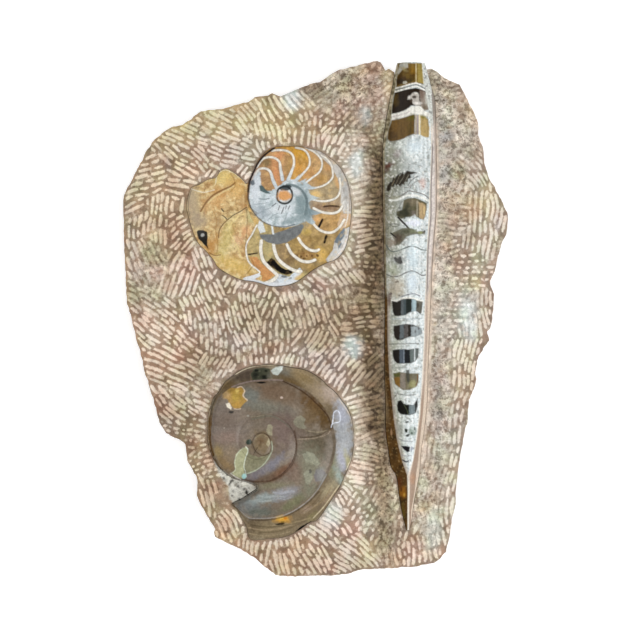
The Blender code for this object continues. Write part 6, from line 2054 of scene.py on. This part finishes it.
def make_slab(fossils):
    sockets = {name: grown(loop, GAP) for name, loop in fossils.items()}
    holes = [sockets["upper"], sockets["lower"]]
    edge, first_open, last_open = slab_edge(sockets["orthoceras"])
    before, after = first_open - 1, last_open + 1
    rim = moved_in(edge, (0.15 + 0.7 * unevenness(edge, 1)) * MM)
    outer, notch_size = top_outline(rim, before, after, sockets["orthoceras"])

    strokes = blow_field(outer, holes)
    inner, shares, tones = struck_points(strokes, outer, holes)
    flat, faces, source, numbers = triangles([outer, *holes], inner)
    index = np.maximum(source - len(outer) - sum(map(len, holes)), -1)
    share = np.append(shares, 0)[index]
    tone = np.append(tones, PLAIN_TONE)[index]
    height = face_height(flat, rim[::3], fossils) + clouds(flat, RUBBLE_LENGTH, 81, 2) * RUBBLE
    roughness = np.random.default_rng(ROUGHNESS_SEED).uniform(-ROUGHNESS, ROUGHNESS, len(flat))
    height += np.where(share == 0, roughness, 0) - share * STROKE_DEPTH

    top = len(flat)
    points = [(x, y, z) for (x, y), z in zip(flat, height)]
    faces = faces.tolist()
    add_sockets(points, faces, numbers[len(outer):], holes)
    notch = numbers[before + 1:][:notch_size]
    rim_numbers = dict(enumerate(numbers[: before + 1]))
    rim_numbers |= dict(enumerate(numbers[before + 1 + notch_size: len(outer)], after))
    uprights, floor_level = add_wall(points, faces, edge, rim_numbers, before, after)
    add_open_socket(points, faces, notch, uprights[before: after + 1], floor_level)

    points = np.array(points)
    added = len(points) - top
    stroke = np.append(share, np.zeros(added))
    tone = np.append(tone, np.full(added, PLAIN_TONE))
    ground, chalk, blotched = slab_paint(points, tone)
    pits = np.maximum(0.15 + clouds(points[:top], PIT_LENGTH, 83, 2), 0)
    points[:top, 2] -= blotched[:top] * pits * PIT_DEPTH
    return make_piece(
        "chiselled_slab", points, faces, chiselled_limestone(),
        {"ground": ground, "chalk": chalk}, {"stroke": stroke, "rough": blotched},
    )


# The studio

def make_floor():
    mesh = bpy.data.meshes.new("floor")
    half = 3.0
    corners = [(-half, -half, 0), (half, -half, 0), (half, half, 0), (-half, half, 0)]
    mesh.from_pydata(corners, [], [(0, 1, 2, 3)])
    floor = bpy.data.objects.new("floor", mesh)
    bpy.context.scene.collection.objects.link(floor)
    material = bpy.data.materials.new("floor")
    material.use_nodes = True
    shader = material.node_tree.nodes["Principled BSDF"]
    shader.inputs["Base Color"].default_value = (0.85, 0.85, 0.85, 1)
    shader.inputs["Roughness"].default_value = 0.8
    shader.inputs["Specular IOR Level"].default_value = 0.0
    shader.inputs["Emission Color"].default_value = (1, 1, 1, 1)
    shader.inputs["Emission Strength"].default_value = 0.45
    mesh.materials.append(material)


def add_light(name, place, width, height, level, glossy=True):
    """A soft box facing the plate; level is the light it gives a white surface that lies flat."""
    aim = Vector((0, 0, SLAB_THICKNESS))
    ray = Vector(place) - aim
    data = bpy.data.lights.new(name, "AREA")
    data.shape = "RECTANGLE"
    data.size = width
    data.size_y = height
    data.energy = level * (math.pi * ray.length) ** 2 / (ray.z / ray.length)
    light = bpy.data.objects.new(name, data)
    light.location = place
    light.rotation_euler = ray.to_track_quat("Z", "Y").to_euler()
    light.visible_glossy = glossy
    bpy.context.scene.collection.objects.link(light)


def make_studio():
    make_floor()
    add_light("overhead", (0, 0, 2.4), 1.2, 1.2, 0.5, False)
    add_light("key", (1.45, -0.6, 1.6), 1.1, 1.8, 0.34)
    add_light("fill", (-1.25, 0.3, 1.6), 0.9, 1.8, 0.14)
    world = bpy.data.worlds.new("studio")
    world.use_nodes = True
    world.node_tree.nodes["Background"].inputs["Color"].default_value = (0.95, 0.97, 1.0, 1)
    world.node_tree.nodes["Background"].inputs["Strength"].default_value = 0.12
    bpy.context.scene.world = world
    bpy.context.scene.view_settings.view_transform = "Standard"

    data = bpy.data.cameras.new("camera")
    data.lens = LENS
    data.sensor_width = SENSOR
    camera = bpy.data.objects.new("camera", data)
    centre = spot(IMAGE_CENTRE)
    camera.location = (centre[0], centre[1], SLAB_THICKNESS + CAMERA_REACH)
    bpy.context.scene.collection.objects.link(camera)
    bpy.context.scene.camera = camera


def main():
    fossils = {
        "upper": spline(metres(UPPER_OUTLINE), OUTLINE_STEP, True),
        "lower": spline(metres(LOWER_OUTLINE), OUTLINE_STEP, True),
        "orthoceras": orthoceras_loop(),
    }
    pieces = {
        "upper_ammonite": (make_upper(fossils["upper"]), "cut_ammonite"),
        "lower_ammonite": (make_lower(fossils["lower"]), "grey_limestone"),
        "orthoceras": (make_orthoceras(), "orthoceras_calcite"),
        "matrix_slab": (make_slab(fossils), "chiselled_limestone"),
    }
    for cad_node, (piece, slot) in pieces.items():
        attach(piece, "root")
        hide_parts(cad_node)
    make_studio()


main()
